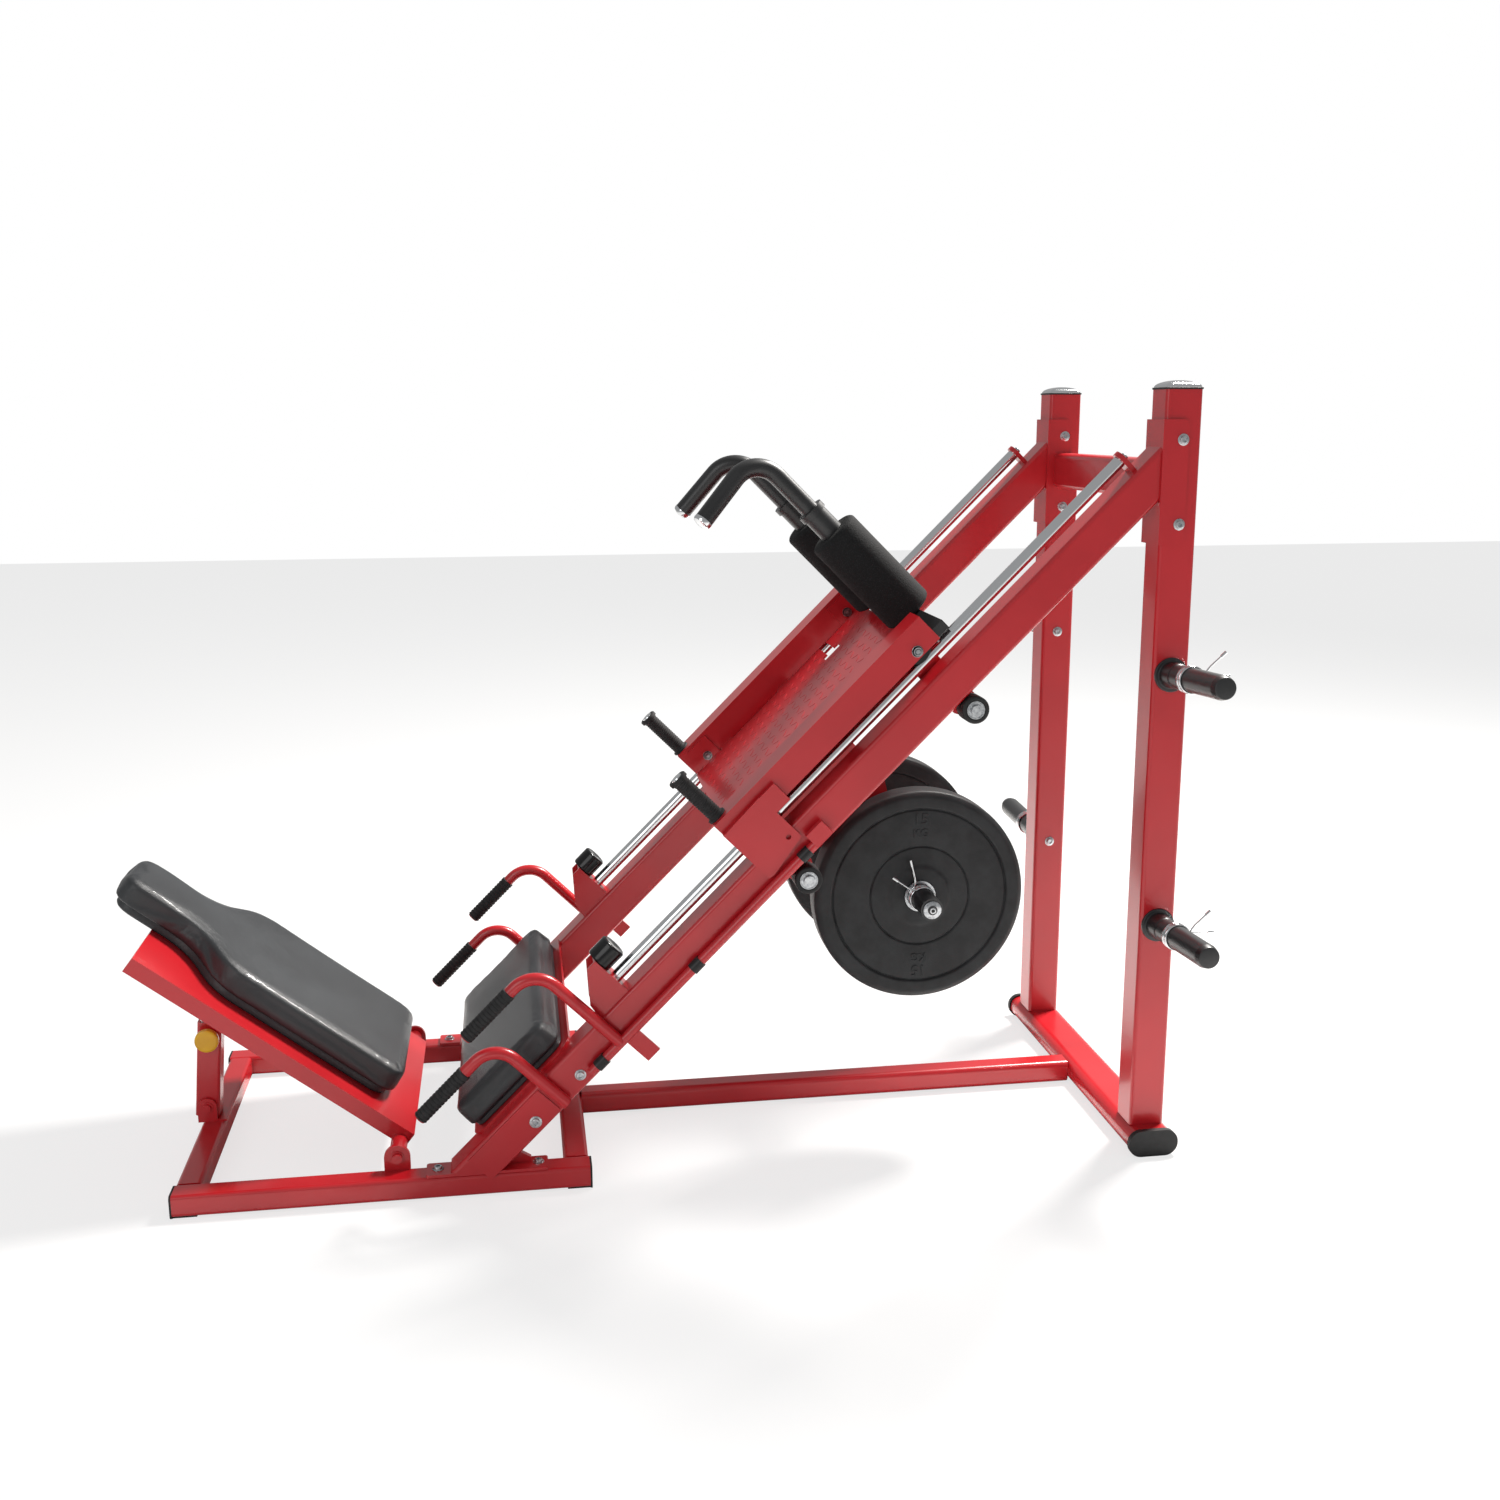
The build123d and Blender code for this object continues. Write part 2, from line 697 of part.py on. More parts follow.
inner_low = pin_along - hole_pitch - 14.0
with BuildPart() as strut_inner:
    with BuildSketch(strut_cut(inner_low)):
        tube_outline(strut_inner_tube, strut_inner_tube, 5.0, 3.0)
    extrude(amount=strut_long + 14.0 - inner_low)
    with BuildSketch(strut_face(strut_inner_tube / 2)):
        with Locations((0, strut_long)):
            Circle(14.0)
    extrude(amount=strut_inner_tube)
    with BuildSketch(strut_face(40.0)):
        with Locations((0, strut_long)):
            Circle(6.0 + 3.0)
    extrude(amount=80.0, mode=Mode.SUBTRACT)
    with BuildSketch(strut_face(0)):
        for step in (-1, 0, 1):
            with Locations((0, pin_along + step * hole_pitch)):
                Circle(pin_radius + 1.0)
    extrude(amount=30.0, mode=Mode.SUBTRACT)
strut_inner.part.label = "strut_inner"
export_step(strut_inner.part, "parts/strut_inner.step")

with BuildPart() as pull_pin:
    with BuildSketch(strut_face(-strut_inner_tube / 2 - 1.0)):
        with Locations((0, pin_along)):
            Circle(pin_radius)
    extrude(amount=29.0)
pull_pin.part.label = "pull_pin"
export_step(pull_pin.part, "parts/pull_pin.step")

with BuildPart() as pull_knob:
    with BuildSketch(strut_face(-strut_outer_tube / 2 - 14.5)):
        with Locations((0, pin_along)):
            Circle(25.0)
            Circle(pin_radius, mode=Mode.SUBTRACT)
    extrude(amount=17.0)
    rim = pull_knob.edges().filter_by(lambda e: e.geom_type == GeomType.CIRCLE and e.radius > 20)
    fillet(rim, radius=5.0)
pull_knob.part.label = "pull_knob"
export_step(pull_knob.part, "parts/pull_knob.step")

# ---------------------------------------------------------------- safety levers
block_low = 908.0
for name, side in SIDES:
    y = side * lever_y
    with BuildPart() as safety_lever:
        with BuildSketch(cut_plane(shaft_start)):
            with Locations((y, lever_height)):
                Circle(shaft_radius)
        extrude(amount=shaft_end - shaft_start)
        with BuildLine() as run:
            FilletPolyline(along(lever_riser, lever_height, y), along(lever_riser, lever_grip_height, y),
                           along(lever_grip_end + 2, lever_grip_height, y), radius=lever_bend)
        with BuildSketch(Plane(origin=run.line @ 0, z_dir=run.line % 0)):
            Circle(handle_radius)
        sweep(path=run.line)
        with BuildSketch(side_plane(side * (lever_y + 3.0))):
            with Locations((382, 62)):
                Rectangle(34, 66, rotation=0)
        extrude(amount=3.0, both=True)
        with BuildSketch(side_plane(side * 389.0)):
            with Locations(((block_low + shaft_end) / 2, 107.0)):
                Rectangle(shaft_end - block_low, 34.0)
        extrude(amount=8.3, both=True)
    safety_lever.part.label = f"safety_lever_{name}"
    export_step(safety_lever.part, f"parts/safety_lever_{name}.step")

    with BuildPart() as lever_grip:
        with BuildSketch(cut_plane(lever_grip_end)):
            with Locations((y, lever_grip_height)):
                Circle(grip_radius)
        extrude(amount=lever_grip_start - lever_grip_end)
        with BuildSketch(cut_plane(lever_grip_end + 2)):
            with Locations((y, lever_grip_height)):
                Circle(handle_radius)
        extrude(amount=lever_grip_start, mode=Mode.SUBTRACT)
    lever_grip.part.label = f"lever_grip_{name}"
    export_step(lever_grip.part, f"parts/lever_grip_{name}.step")

with BuildPart() as lever_bushings:
    for side in (-1, 1):
        for s in (288.0, 560.0, 868.0):
            with BuildSketch(cut_plane(s)):
                with Locations((side * lever_y, lever_height)):
                    Circle(bushing_radius)
                with Locations((side * (half_width + lever_y) / 2, lever_height)):
                    Rectangle(lever_y - half_width, 18.0)
                with Locations((side * lever_y, lever_height)):
                    Circle(shaft_radius + running, mode=Mode.SUBTRACT)
            extrude(amount=bushing_long)
lever_bushings.part.label = "lever_bushings"
export_step(lever_bushings.part, "parts/lever_bushings.step")

# ---------------------------------------------------------------- sled
channel_y = (channel_in + channel_out) / 2
channel_wide = channel_out - channel_in
with BuildPart() as sled_channels:
    for side in (-1, 1):
        with BuildSketch(cut_plane(sled_low)):
            with Locations((side * channel_y, (channel_low + channel_high) / 2)):
                Rectangle(channel_wide, channel_high - channel_low)
            with Locations((side * channel_y, (channel_low + channel_high) / 2 - channel_wall)):
                Rectangle(channel_wide - 2 * channel_wall, channel_high - channel_low, mode=Mode.SUBTRACT)
        extrude(amount=sled_high - sled_low)
        with BuildSketch(cut_plane(sled_low)):
            with Locations((side * channel_y, (channel_low + channel_high) / 2)):
                Rectangle(channel_wide, channel_high - channel_low)
        extrude(amount=-12.0)
        for s in (roller_low, roller_high):
            with BuildSketch(side_plane(side * channel_in)):
                with Locations((s, upper_axle)):
                    Circle(axle_radius)
            extrude(amount=-side * channel_wide)
sled_channels.part.label = "sled_channels"
export_step(sled_channels.part, "parts/sled_channels.step")

with BuildPart() as sled_cross_tubes:
    for s, reach in ((900.0, channel_in), (1090.0, channel_in), (1325.0, channel_in - hanger_thick)):
        with BuildSketch(side_plane(reach)):
            with Locations((s, sled_tube_low + sled_tube_tall / 2)):
                RectangleRounded(40.0, sled_tube_tall, 6.0)
                RectangleRounded(34.0, sled_tube_tall - 6, 3.0, mode=Mode.SUBTRACT)
        extrude(amount=2 * reach)
sled_cross_tubes.part.label = "sled_cross_tubes"
export_step(sled_cross_tubes.part, "parts/sled_cross_tubes.step")

with BuildPart() as tread_plate:
    tread_low = 797.0
    tread_high = 1352.0
    with BuildSketch(lift_plane(tread_top - tread_thick)):
        with Locations(((tread_low + tread_high) / 2, 0)):
            RectangleRounded(tread_high - tread_low, 2 * tread_half, 4.0)
        with Locations((1222, 205)):
            Rectangle(22, 100, mode=Mode.SUBTRACT)
        with Locations((1222, 150)):
            Rectangle(46, 34, mode=Mode.SUBTRACT)
    extrude(amount=tread_thick)
tread_plate.part.label = "tread_plate"
export_step(tread_plate.part, "parts/tread_plate.step")

with BuildPart() as sled_cheeks:
    for side in (-1, 1):
        with BuildSketch(side_plane(side * cheek_in)):
            with BuildLine():
                Polyline((796, 240), (898, 243), (902, 185), (902, 125), (808, 109), (796, 112), (796, 240))
            make_face()
            with Locations((882.6, 143.4)):
                Circle(5.5, mode=Mode.SUBTRACT)
        extrude(amount=-side * cheek_thick)
        with BuildSketch(side_plane(side * channel_out)):
            with Locations((867.5, 221)):
                Rectangle(143, 38)
        extrude(amount=-side * (cheek_in - channel_out))
        with BuildSketch(side_plane(side * cheek_in)):
            with Locations((918.5, 218.5)):
                Rectangle(41, 47)
        extrude(amount=-side * cheek_thick)
sled_cheeks.part.label = "sled_cheeks"
export_step(sled_cheeks.part, "parts/sled_cheeks.step")

with BuildPart() as roller_hangers:
    hanger_half = 29.0
    for side in (-1, 1):
        for s in (roller_low, roller_high):
            with BuildSketch(side_plane(side * channel_in)):
                with BuildLine():
                    Polyline((s - hanger_half, channel_high - 8), (s + hanger_half, channel_high - 8),
                             (s + hanger_half, under_axle), (s + 15, under_axle - 26),
                             (s - 15, under_axle - 26), (s - hanger_half, under_axle),
                             (s - hanger_half, channel_high - 8))
                make_face()
            extrude(amount=side * hanger_thick)
roller_hangers.part.label = "roller_hangers"
export_step(roller_hangers.part, "parts/roller_hangers.step")

for end, s in (("low", roller_low), ("high", roller_high)):
    for name, side in SIDES:
        with BuildPart() as guide_roller:
            half = upper_roller_wide / 2
            with BuildSketch(side_plane(side * rail_y).rotated((0, 0, 0))):
                with Locations((s, upper_axle)):
                    Circle(upper_roller_radius)
            extrude(amount=half, both=True)
            groove = cut_plane(s)
            with BuildSketch(groove):
                with BuildLine():
                    Polyline((side * rail_y - 15, upper_axle - 28.5), (side * rail_y + 15, upper_axle - 28.5),
                             (side * rail_y + 7.5, upper_axle - roll_radius + 0.3),
                             (side * rail_y - 7.5, upper_axle - roll_radius + 0.3),
                             (side * rail_y - 15, upper_axle - 28.5))
                make_face()
            axle_line = Axis(along(s, upper_axle, 0), (0, 1, 0))
            revolve(axis=axle_line, revolution_arc=360, mode=Mode.SUBTRACT)
            with BuildSketch(side_plane(side * rail_y)):
                with Locations((s, upper_axle)):
                    Circle(axle_radius + running)
            extrude(amount=half + 1, both=True, mode=Mode.SUBTRACT)
        guide_roller.part.label = f"guide_roller_{end}_{name}"
        export_step(guide_roller.part, f"parts/guide_roller_{end}_{name}.step")

        with BuildPart() as under_roller:
            with BuildSketch(side_plane(side * (under_in + under_out) / 2)):
                with Locations((s, under_axle)):
                    Circle(under_radius)
            extrude(amount=(under_out - under_in) / 2, both=True)
            chamfer(under_roller.edges().filter_by(GeomType.CIRCLE), length=2.0)
            with BuildSketch(side_plane(side * (under_in + under_out) / 2)):
                with Locations((s, under_axle)):
                    Circle(axle_radius + running)
            extrude(amount=(under_out - under_in) / 2 + 1, both=True, mode=Mode.SUBTRACT)
        under_roller.part.label = f"under_roller_{end}_{name}"
        export_step(under_roller.part, f"parts/under_roller_{end}_{name}.step")

with BuildPart() as sled_grips:
    for side in (-1, 1):
        spot = (812.0, side * channel_y)
        with BuildSketch(lift_plane(channel_high)):
            with Locations(spot):
                Circle(grip_post_radius)
        extrude(amount=grip_post_top - channel_high)
        for low in (channel_high, grip_post_top - 10.0):
            with BuildSketch(lift_plane(low)):
                with Locations(spot):
                    Circle(grip_post_radius + 4.0)
            extrude(amount=6.0)
sled_grips.part.label = "sled_grips"
export_step(sled_grips.part, "parts/sled_grips.step")

# ---------------------------------------------------------------- shoulder bar and rollers
with BuildPart() as shoulder_bar:
    with BuildSketch(cut_plane(sled_high)):
        with Locations((0, (bar_low + bar_high) / 2)):
            Rectangle(2 * bar_half, bar_high - bar_low)
    extrude(amount=bar_thick)
    for side in (-1, 1):
        spot = (column_s, side * column_y)
        with BuildSketch(lift_plane(bar_high)):
            with Locations(spot):
                Circle(socket_radius)
        extrude(amount=socket_top - bar_high)
        with BuildSketch(lift_plane(socket_top - 14)):
            with Locations(spot):
                Circle(29.0)
        extrude(amount=14.0)
        with BuildSketch(lift_plane(bar_high + 60)):
            with Locations(spot):
                Circle(column_radius)
        extrude(amount=socket_top, mode=Mode.SUBTRACT)
shoulder_bar.part.label = "shoulder_bar"
export_step(shoulder_bar.part, "parts/shoulder_bar.step")

with BuildPart() as shoulder_handles:
    for side in (-1, 1):
        y = side * column_y
        tip_y = side * column_spread
        with BuildLine() as run:
            FilletPolyline(along(column_s, bar_high + 60, y), along(column_s, column_high, y),
                           along(column_tip, column_high - 16, tip_y), radius=column_bend)
        with BuildSketch(Plane(origin=run.line @ 0, z_dir=run.line % 0)):
            Circle(column_radius)
        sweep(path=run.line)
shoulder_handles.part.label = "shoulder_handles"
export_step(shoulder_handles.part, "parts/shoulder_handles.step")

with BuildPart() as foam_rollers:
    foam_gap = 0.3
    for side in (-1, 1):
        with BuildSketch(lift_plane(foam_low)):
            with Locations((column_s, side * column_y)):
                Circle(foam_radius)
                Circle(socket_radius + foam_gap, mode=Mode.SUBTRACT)
        extrude(amount=foam_high - foam_low)
    outer = foam_rollers.edges().filter_by(lambda e: e.geom_type == GeomType.CIRCLE and e.radius > 50)
    fillet(outer, radius=7.0)
foam_rollers.part.label = "foam_rollers"
export_step(foam_rollers.part, "parts/foam_rollers.step")

# ---------------------------------------------------------------- weight hanger
with BuildPart() as weight_hanger:
    for side in (-1, 1):
        with BuildSketch(side_plane(side * (peg_in - hanger_plate))):
            with BuildLine():
                Polyline((885, sled_tube_low), (1108, sled_tube_low), (1102, 12), (1024, -120),
                         (1018, peg_p - 16), (996, peg_p - 44), (948, peg_p - 44), (925, peg_p - 16),
                         (918, -100), (885, 60), (885, sled_tube_low))
            make_face()
        extrude(amount=-side * hanger_plate)
    with BuildSketch(side_plane(peg_in - hanger_plate)):
        with Locations((peg_s, peg_p)):
            Circle(30.0)
            Circle(26.0, mode=Mode.SUBTRACT)
    extrude(amount=2 * (peg_in - hanger_plate))
weight_hanger.part.label = "weight_hanger"
export_step(weight_hanger.part, "parts/weight_hanger.step")

with BuildPart() as load_pegs:
    for side in (-1, 1):
        with BuildSketch(side_plane(side * peg_in)):
            with Locations((peg_s, peg_p)):
                Circle(peg_radius)
        extrude(amount=-side * (peg_out - peg_in))
        with BuildSketch(side_plane(side * peg_in)):
            with Locations((peg_s, peg_p)):
                Circle(disc_hub)
        extrude(amount=-side * (disc_in - 0.5 - peg_in))
        with BuildSketch(side_plane(side * peg_out)):
            with Locations((peg_s, peg_p)):
                Circle(10.0)
        extrude(amount=-side * 5.0)
load_pegs.part.label = "load_pegs"
export_step(load_pegs.part, "parts/load_pegs.step")

for name, side in SIDES:
    with BuildPart() as weight_plate:
        with BuildSketch(side_plane(side * disc_in)):
            with Locations((peg_s, peg_p)):
                Circle(disc_radius)
                Circle(disc_bore, mode=Mode.SUBTRACT)
        extrude(amount=-side * disc_thick)
        rim = weight_plate.edges().filter_by(lambda e: e.geom_type == GeomType.CIRCLE and e.radius > 200)
        fillet(rim, radius=6.0)
        for ring in (0.83, 0.47):
            with BuildSketch(side_plane(side * (disc_in + disc_thick))):
                with Locations((peg_s, peg_p)):
                    Circle(disc_radius * ring)
                    Circle(disc_radius * ring - 4, mode=Mode.SUBTRACT)
            extrude(amount=side * 2.5, mode=Mode.SUBTRACT)
    weight_plate.part.label = f"weight_plate_{name}"
    export_step(weight_plate.part, f"parts/weight_plate_{name}.step")

    with BuildPart() as load_collar:
        collar_spot = along(peg_s, peg_p, side * (disc_in + disc_thick + 3.0))
        spring_collar(Plane(origin=collar_spot, x_dir=(1, 0, 0), z_dir=(0, side, 0)), peg_radius)
    load_collar.part.label = f"load_collar_{name}"
    export_step(load_collar.part, f"parts/load_collar_{name}.step")

# ---------------------------------------------------------------- bolts
with BuildPart() as frame_bolts:
    for side in (-1, 1):
        out = (0, side, 0)
        hex_bolt(Plane(origin=along(118.5, 103.0, side * (half_width + lap_thick)), z_dir=out))
        hex_bolt(Plane(origin=along(249.0, 104.0, side * half_width), z_dir=out))
        for z in (1491.0, 1327.0):
            for face in (-1, 1):
                y = side * rail_y + face * (rail_tube / 2 + bracket_thick)
                hex_bolt(Plane(origin=(rail_x0 + 1302, y, z), z_dir=(0, face, 0)))
        for z in (store_high, store_low):
            hex_bolt(Plane(origin=(rail_x0 + post_x, side * rail_in, z), z_dir=(0, -side, 0)))
        for x in (-187.0, 14.0):
            spot = (rail_x0 + x, side * (half_width - base_wide / 2), base_top + foot_plate)
            hex_bolt(Plane(origin=spot, z_dir=(0, 0, 1)))
        hex_bolt(Plane(origin=along(rod_end + lug_thick, rod_height, side * rail_y), z_dir=(ca, 0, sa)))
frame_bolts.part.label = "frame_bolts"
export_step(frame_bolts.part, "parts/frame_bolts.step")

with BuildPart() as sled_axles:
    for side in (-1, 1):
        out = (0, side, 0)
        for s in (roller_low, roller_high):
            inner = side * (channel_in - hanger_thick)
            hex_bolt(Plane(origin=along(s, upper_axle, inner), z_dir=(0, -side, 0)), washer=11.0)
            hex_bolt(Plane(origin=along(s, under_axle, inner), z_dir=(0, -side, 0)), washer=11.0)
            disc(Plane(origin=along(s, under_axle, side * channel_in), z_dir=out), axle_radius, under_out + 1 - channel_in)
            disc(Plane(origin=along(s, under_axle, side * channel_in), z_dir=out), 14.0, under_in - 1 - channel_in)
            disc(Plane(origin=along(s, under_axle, side * (under_out + 1)), z_dir=out), 11.0, 6.0)
        hex_bolt(Plane(origin=along(roller_high, upper_axle, side * (channel_out + 1)), z_dir=(0, side, 0)),
                 washer=11.0)
sled_axles.part.label = "sled_axles"
export_step(sled_axles.part, "parts/sled_axles.step")
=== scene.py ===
import bpy, bmesh, json, math
from math import sin, cos, pi, radians, sqrt
from mathutils import Vector, Matrix


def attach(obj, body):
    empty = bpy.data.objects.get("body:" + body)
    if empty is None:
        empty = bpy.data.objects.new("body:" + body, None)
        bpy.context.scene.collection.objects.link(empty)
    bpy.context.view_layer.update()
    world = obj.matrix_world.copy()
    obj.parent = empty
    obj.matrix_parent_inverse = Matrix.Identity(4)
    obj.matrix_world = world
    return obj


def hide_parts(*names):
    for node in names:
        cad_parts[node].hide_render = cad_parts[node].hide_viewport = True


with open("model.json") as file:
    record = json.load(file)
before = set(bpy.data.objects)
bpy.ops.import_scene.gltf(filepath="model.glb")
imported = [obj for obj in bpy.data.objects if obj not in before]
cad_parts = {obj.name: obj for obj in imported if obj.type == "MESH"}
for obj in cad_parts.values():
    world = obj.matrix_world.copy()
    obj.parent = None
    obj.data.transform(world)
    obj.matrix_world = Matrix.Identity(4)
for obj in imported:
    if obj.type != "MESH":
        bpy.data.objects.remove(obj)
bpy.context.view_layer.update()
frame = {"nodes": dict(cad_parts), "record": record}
NODES = frame["nodes"]
NEAR_FAR = (("near", -1), ("far", 1))

# places shared with the solids, in metres
X0 = -0.2665                # rail line's foot
C = sqrt(0.5)
UP = Vector((-C, 0, C))     # square to the rails
RUN = Vector((C, 0, C))     # up the rails
SIDE = Vector((0, 1, 0))
RAIL_Y = 0.333


def at(s, p, y=0.0):
    return Vector((X0 + (s - p) * C, y, (s + p) * C))


# ------------------------------------------------------------------ materials
def hex_rgb(text):
    """sRGB hex colour to linear."""
    out = []
    for i in (0, 2, 4):
        v = int(text[i:i + 2], 16) / 255
        out.append(v / 12.92 if v <= 0.04045 else ((v + 0.055) / 1.055) ** 2.4)
    return (*out, 1.0)


def add(tree, kind, links=(), **values):
    """Adds one node, sets its inputs and links it."""
    n = tree.nodes.new(kind)
    for key, value in values.items():
        if key.startswith("_"):
            setattr(n, key[1:], value)
        else:
            name = key.replace("__", " ")
            n.inputs[name].default_value = value
    for sock, source in links:
        tree.links.new(source, n.inputs[sock])
    return n


def base_material(name, color, rough, metal=0.0, **extra):
    m = bpy.data.materials.new(name)
    m.use_nodes = True
    t = m.node_tree
    b = t.nodes["Principled BSDF"]
    b.inputs["Base Color"].default_value = hex_rgb(color)
    b.inputs["Roughness"].default_value = rough
    b.inputs["Metallic"].default_value = metal
    for key, value in extra.items():
        b.inputs[key.replace("__", " ")].default_value = value
    co = t.nodes.new("ShaderNodeTexCoord")
    return m, t, b, co.outputs["Object"]


def vary(t, b, co, low, high, scale, detail=3.0, rough=None, lo=0.35, hi=0.65):
    """Colour drifts between two hex colours, and roughness between two values."""
    n = add(t, "ShaderNodeTexNoise", [("Vector", co)], Scale=scale, Detail=detail)
    r = add(t, "ShaderNodeValToRGB", [("Fac", n.outputs["Fac"])])
    r.color_ramp.elements[0].position, r.color_ramp.elements[1].position = lo, hi
    r.color_ramp.elements[0].color, r.color_ramp.elements[1].color = hex_rgb(low), hex_rgb(high)
    t.links.new(r.outputs["Color"], b.inputs["Base Color"])
    if rough:
        m = add(t, "ShaderNodeMapRange", [("Value", n.outputs["Fac"])])
        m.inputs["To Min"].default_value, m.inputs["To Max"].default_value = rough
        t.links.new(m.outputs["Result"], b.inputs["Roughness"])
    return r


def bump(t, b, height, strength, distance):
    n = add(t, "ShaderNodeBump", [("Height", height)], Strength=strength, Distance=distance)
    t.links.new(n.outputs["Normal"], b.inputs["Normal"])
    return n


def red_paint(name="red_paint", tread=False):
    """Gloss red powder coat over welded steel: faint orange peel and a clear gloss."""
    m, t, b, co = base_material(name, "b3141e", 0.34, Coat__Weight=0.3, Coat__Roughness=0.1,
                                Specular__IOR__Level=0.5)
    vary(t, b, co, "ab101a", "bb1822", 3.0, rough=(0.26, 0.36))
    peel = add(t, "ShaderNodeTexNoise", [("Vector", co)], Scale=420.0, Detail=2.0)
    bump(t, b, peel.outputs["Fac"], 0.12, 0.0006)
    return m


def black_paint():
    """Satin black powder coat on the pegs and the shoulder bar."""
    m, t, b, co = base_material("black_paint", "17181a", 0.38, Coat__Weight=0.2, Coat__Roughness=0.2)
    vary(t, b, co, "141517", "1d1e20", 8.0, rough=(0.34, 0.46))
    peel = add(t, "ShaderNodeTexNoise", [("Vector", co)], Scale=600.0, Detail=2.0)
    bump(t, b, peel.outputs["Fac"], 0.15, 0.0006)
    return m


def chrome():
    """Hard chrome plate on the rods, caps and collars."""
    m, t, b, co = base_material("chrome", "d4d6d8", 0.1, metal=1.0)
    n = add(t, "ShaderNodeTexNoise", [("Vector", co)], Scale=90.0, Detail=4.0)
    r = add(t, "ShaderNodeMapRange", [("Value", n.outputs["Fac"])])
    r.inputs["To Min"].default_value, r.inputs["To Max"].default_value = 0.06, 0.16
    t.links.new(r.outputs["Result"], b.inputs["Roughness"])
    return m


def zinc():
    """Bright zinc plate on bolts, washers and pins."""
    m, t, b, co = base_material("zinc", "b9bcbf", 0.28, metal=1.0)
    vary(t, b, co, "a4a7ab", "c9ccce", 160.0, rough=(0.2, 0.4))
    return m


def rubber(name, color, light, scale=60.0, grain=900.0, strength=0.25, rough=(0.5, 0.7)):
    """Moulded black rubber with a fine skin and dusty patches."""
    m, t, b, co = base_material(name, color, 0.6, Specular__IOR__Level=0.35)
    vary(t, b, co, color, light, scale, detail=5.0, rough=rough)
    n = add(t, "ShaderNodeTexNoise", [("Vector", co)], Scale=grain, Detail=3.0)
    bump(t, b, n.outputs["Fac"], strength, 0.0008)
    return m


def vinyl():
    """Black upholstery vinyl: pebbled leather grain and a soft sheen."""
    m, t, b, co = base_material("vinyl", "26282b", 0.4, Specular__IOR__Level=0.5, Coat__Weight=0.1)
    vary(t, b, co, "202225", "2c2f32", 6.0, rough=(0.34, 0.46))
    cells = add(t, "ShaderNodeTexVoronoi", [("Vector", co)], _feature="DISTANCE_TO_EDGE", Scale=620.0)
    ramp = add(t, "ShaderNodeMapRange", [("Value", cells.outputs["Distance"])])
    ramp.inputs["From Max"].default_value = 0.16
    bump(t, b, ramp.outputs["Result"], 0.35, 0.0004)
    return m


def foam():
    """Closed-cell foam sleeve: matte, pitted, lightly speckled."""
    m, t, b, co = base_material("foam", "1a1b1c", 0.85, Specular__IOR__Level=0.25)
    speck = add(t, "ShaderNodeTexVoronoi", [("Vector", co)], Scale=420.0)
    ramp = add(t, "ShaderNodeValToRGB", [("Fac", speck.outputs["Distance"])])
    ramp.color_ramp.elements[0].color, ramp.color_ramp.elements[1].color = hex_rgb("3c3e40"), hex_rgb("151617")
    ramp.color_ramp.elements[1].position = 0.3
    t.links.new(ramp.outputs["Color"], b.inputs["Base Color"])
    bump(t, b, speck.outputs["Distance"], 0.5, 0.0012)
    return m


def yellow():
    """Glossy yellow moulded knob."""
    m, t, b, co = base_material("yellow_plastic", "d9a916", 0.35)
    vary(t, b, co, "d3a010", "e0b21c", 20.0, rough=(0.3, 0.42))
    return m


RED, BLACK, CHROME, ZINC = red_paint(), black_paint(), chrome(), zinc()
RUBBER = rubber("rubber", "161617", "222324")
DISC = rubber("disc_rubber", "17181a", "26282a", scale=26.0, grain=500.0, strength=0.35, rough=(0.42, 0.62))
BUMPER = rubber("bumper_rubber", "0f1011", "18191a", scale=12.0, grain=200.0, strength=0.05, rough=(0.12, 0.2))
GRIP = rubber("grip_rubber", "1b1b1c", "29292a", scale=120.0, grain=1400.0, strength=0.4, rough=(0.6, 0.8))
PLASTIC = rubber("black_plastic", "141415", "1d1d1e", scale=40.0, grain=700.0, strength=0.1, rough=(0.3, 0.42))
VINYL, FOAM, YELLOW = vinyl(), foam(), yellow()
SLOT_MATERIAL = {"red_paint": RED, "black_paint": BLACK, "chrome": CHROME, "zinc": ZINC, "rubber": RUBBER,
                 "vinyl": VINYL, "foam": FOAM, "black_plastic": PLASTIC, "yellow_plastic": YELLOW}
for entry in frame["record"]["subparts"]:
    obj = NODES.get(entry["node"])
    if obj:
        obj.data.materials.clear()
        obj.data.materials.append(SLOT_MATERIAL[entry["material_slot"]])
for name in ("shoulder_handles", "strut_inner"):
    NODES[name].data.materials.clear()
    NODES[name].data.materials.append(CHROME)


# ------------------------------------------------------------------ mesh helpers
def finish_piece(obj, material, body, replaces=(), smooth=35):
    obj.data.materials.clear()
    obj.data.materials.append(material)
    bpy.ops.object.select_all(action="DESELECT")
    obj.select_set(True)
    bpy.context.view_layer.objects.active = obj
    if smooth:
        bpy.ops.object.shade_smooth_by_angle(angle=radians(smooth))
    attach(obj, body)
    if replaces:
        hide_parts(*replaces)
    return obj


def from_bm(name, bm):
    bmesh.ops.recalc_face_normals(bm, faces=bm.faces)
    mesh = bpy.data.meshes.new(name)
    bm.to_mesh(mesh)
    bm.free()
    obj = bpy.data.objects.new(name, mesh)
    bpy.context.scene.collection.objects.link(obj)
    return obj


def frame_of(way):
    """Two directions square to way."""
    a = Vector((0, 1, 0)) if abs(way.y) < 0.9 else Vector((1, 0, 0))
    u = way.cross(a).normalized()
    return u, way.cross(u).normalized()


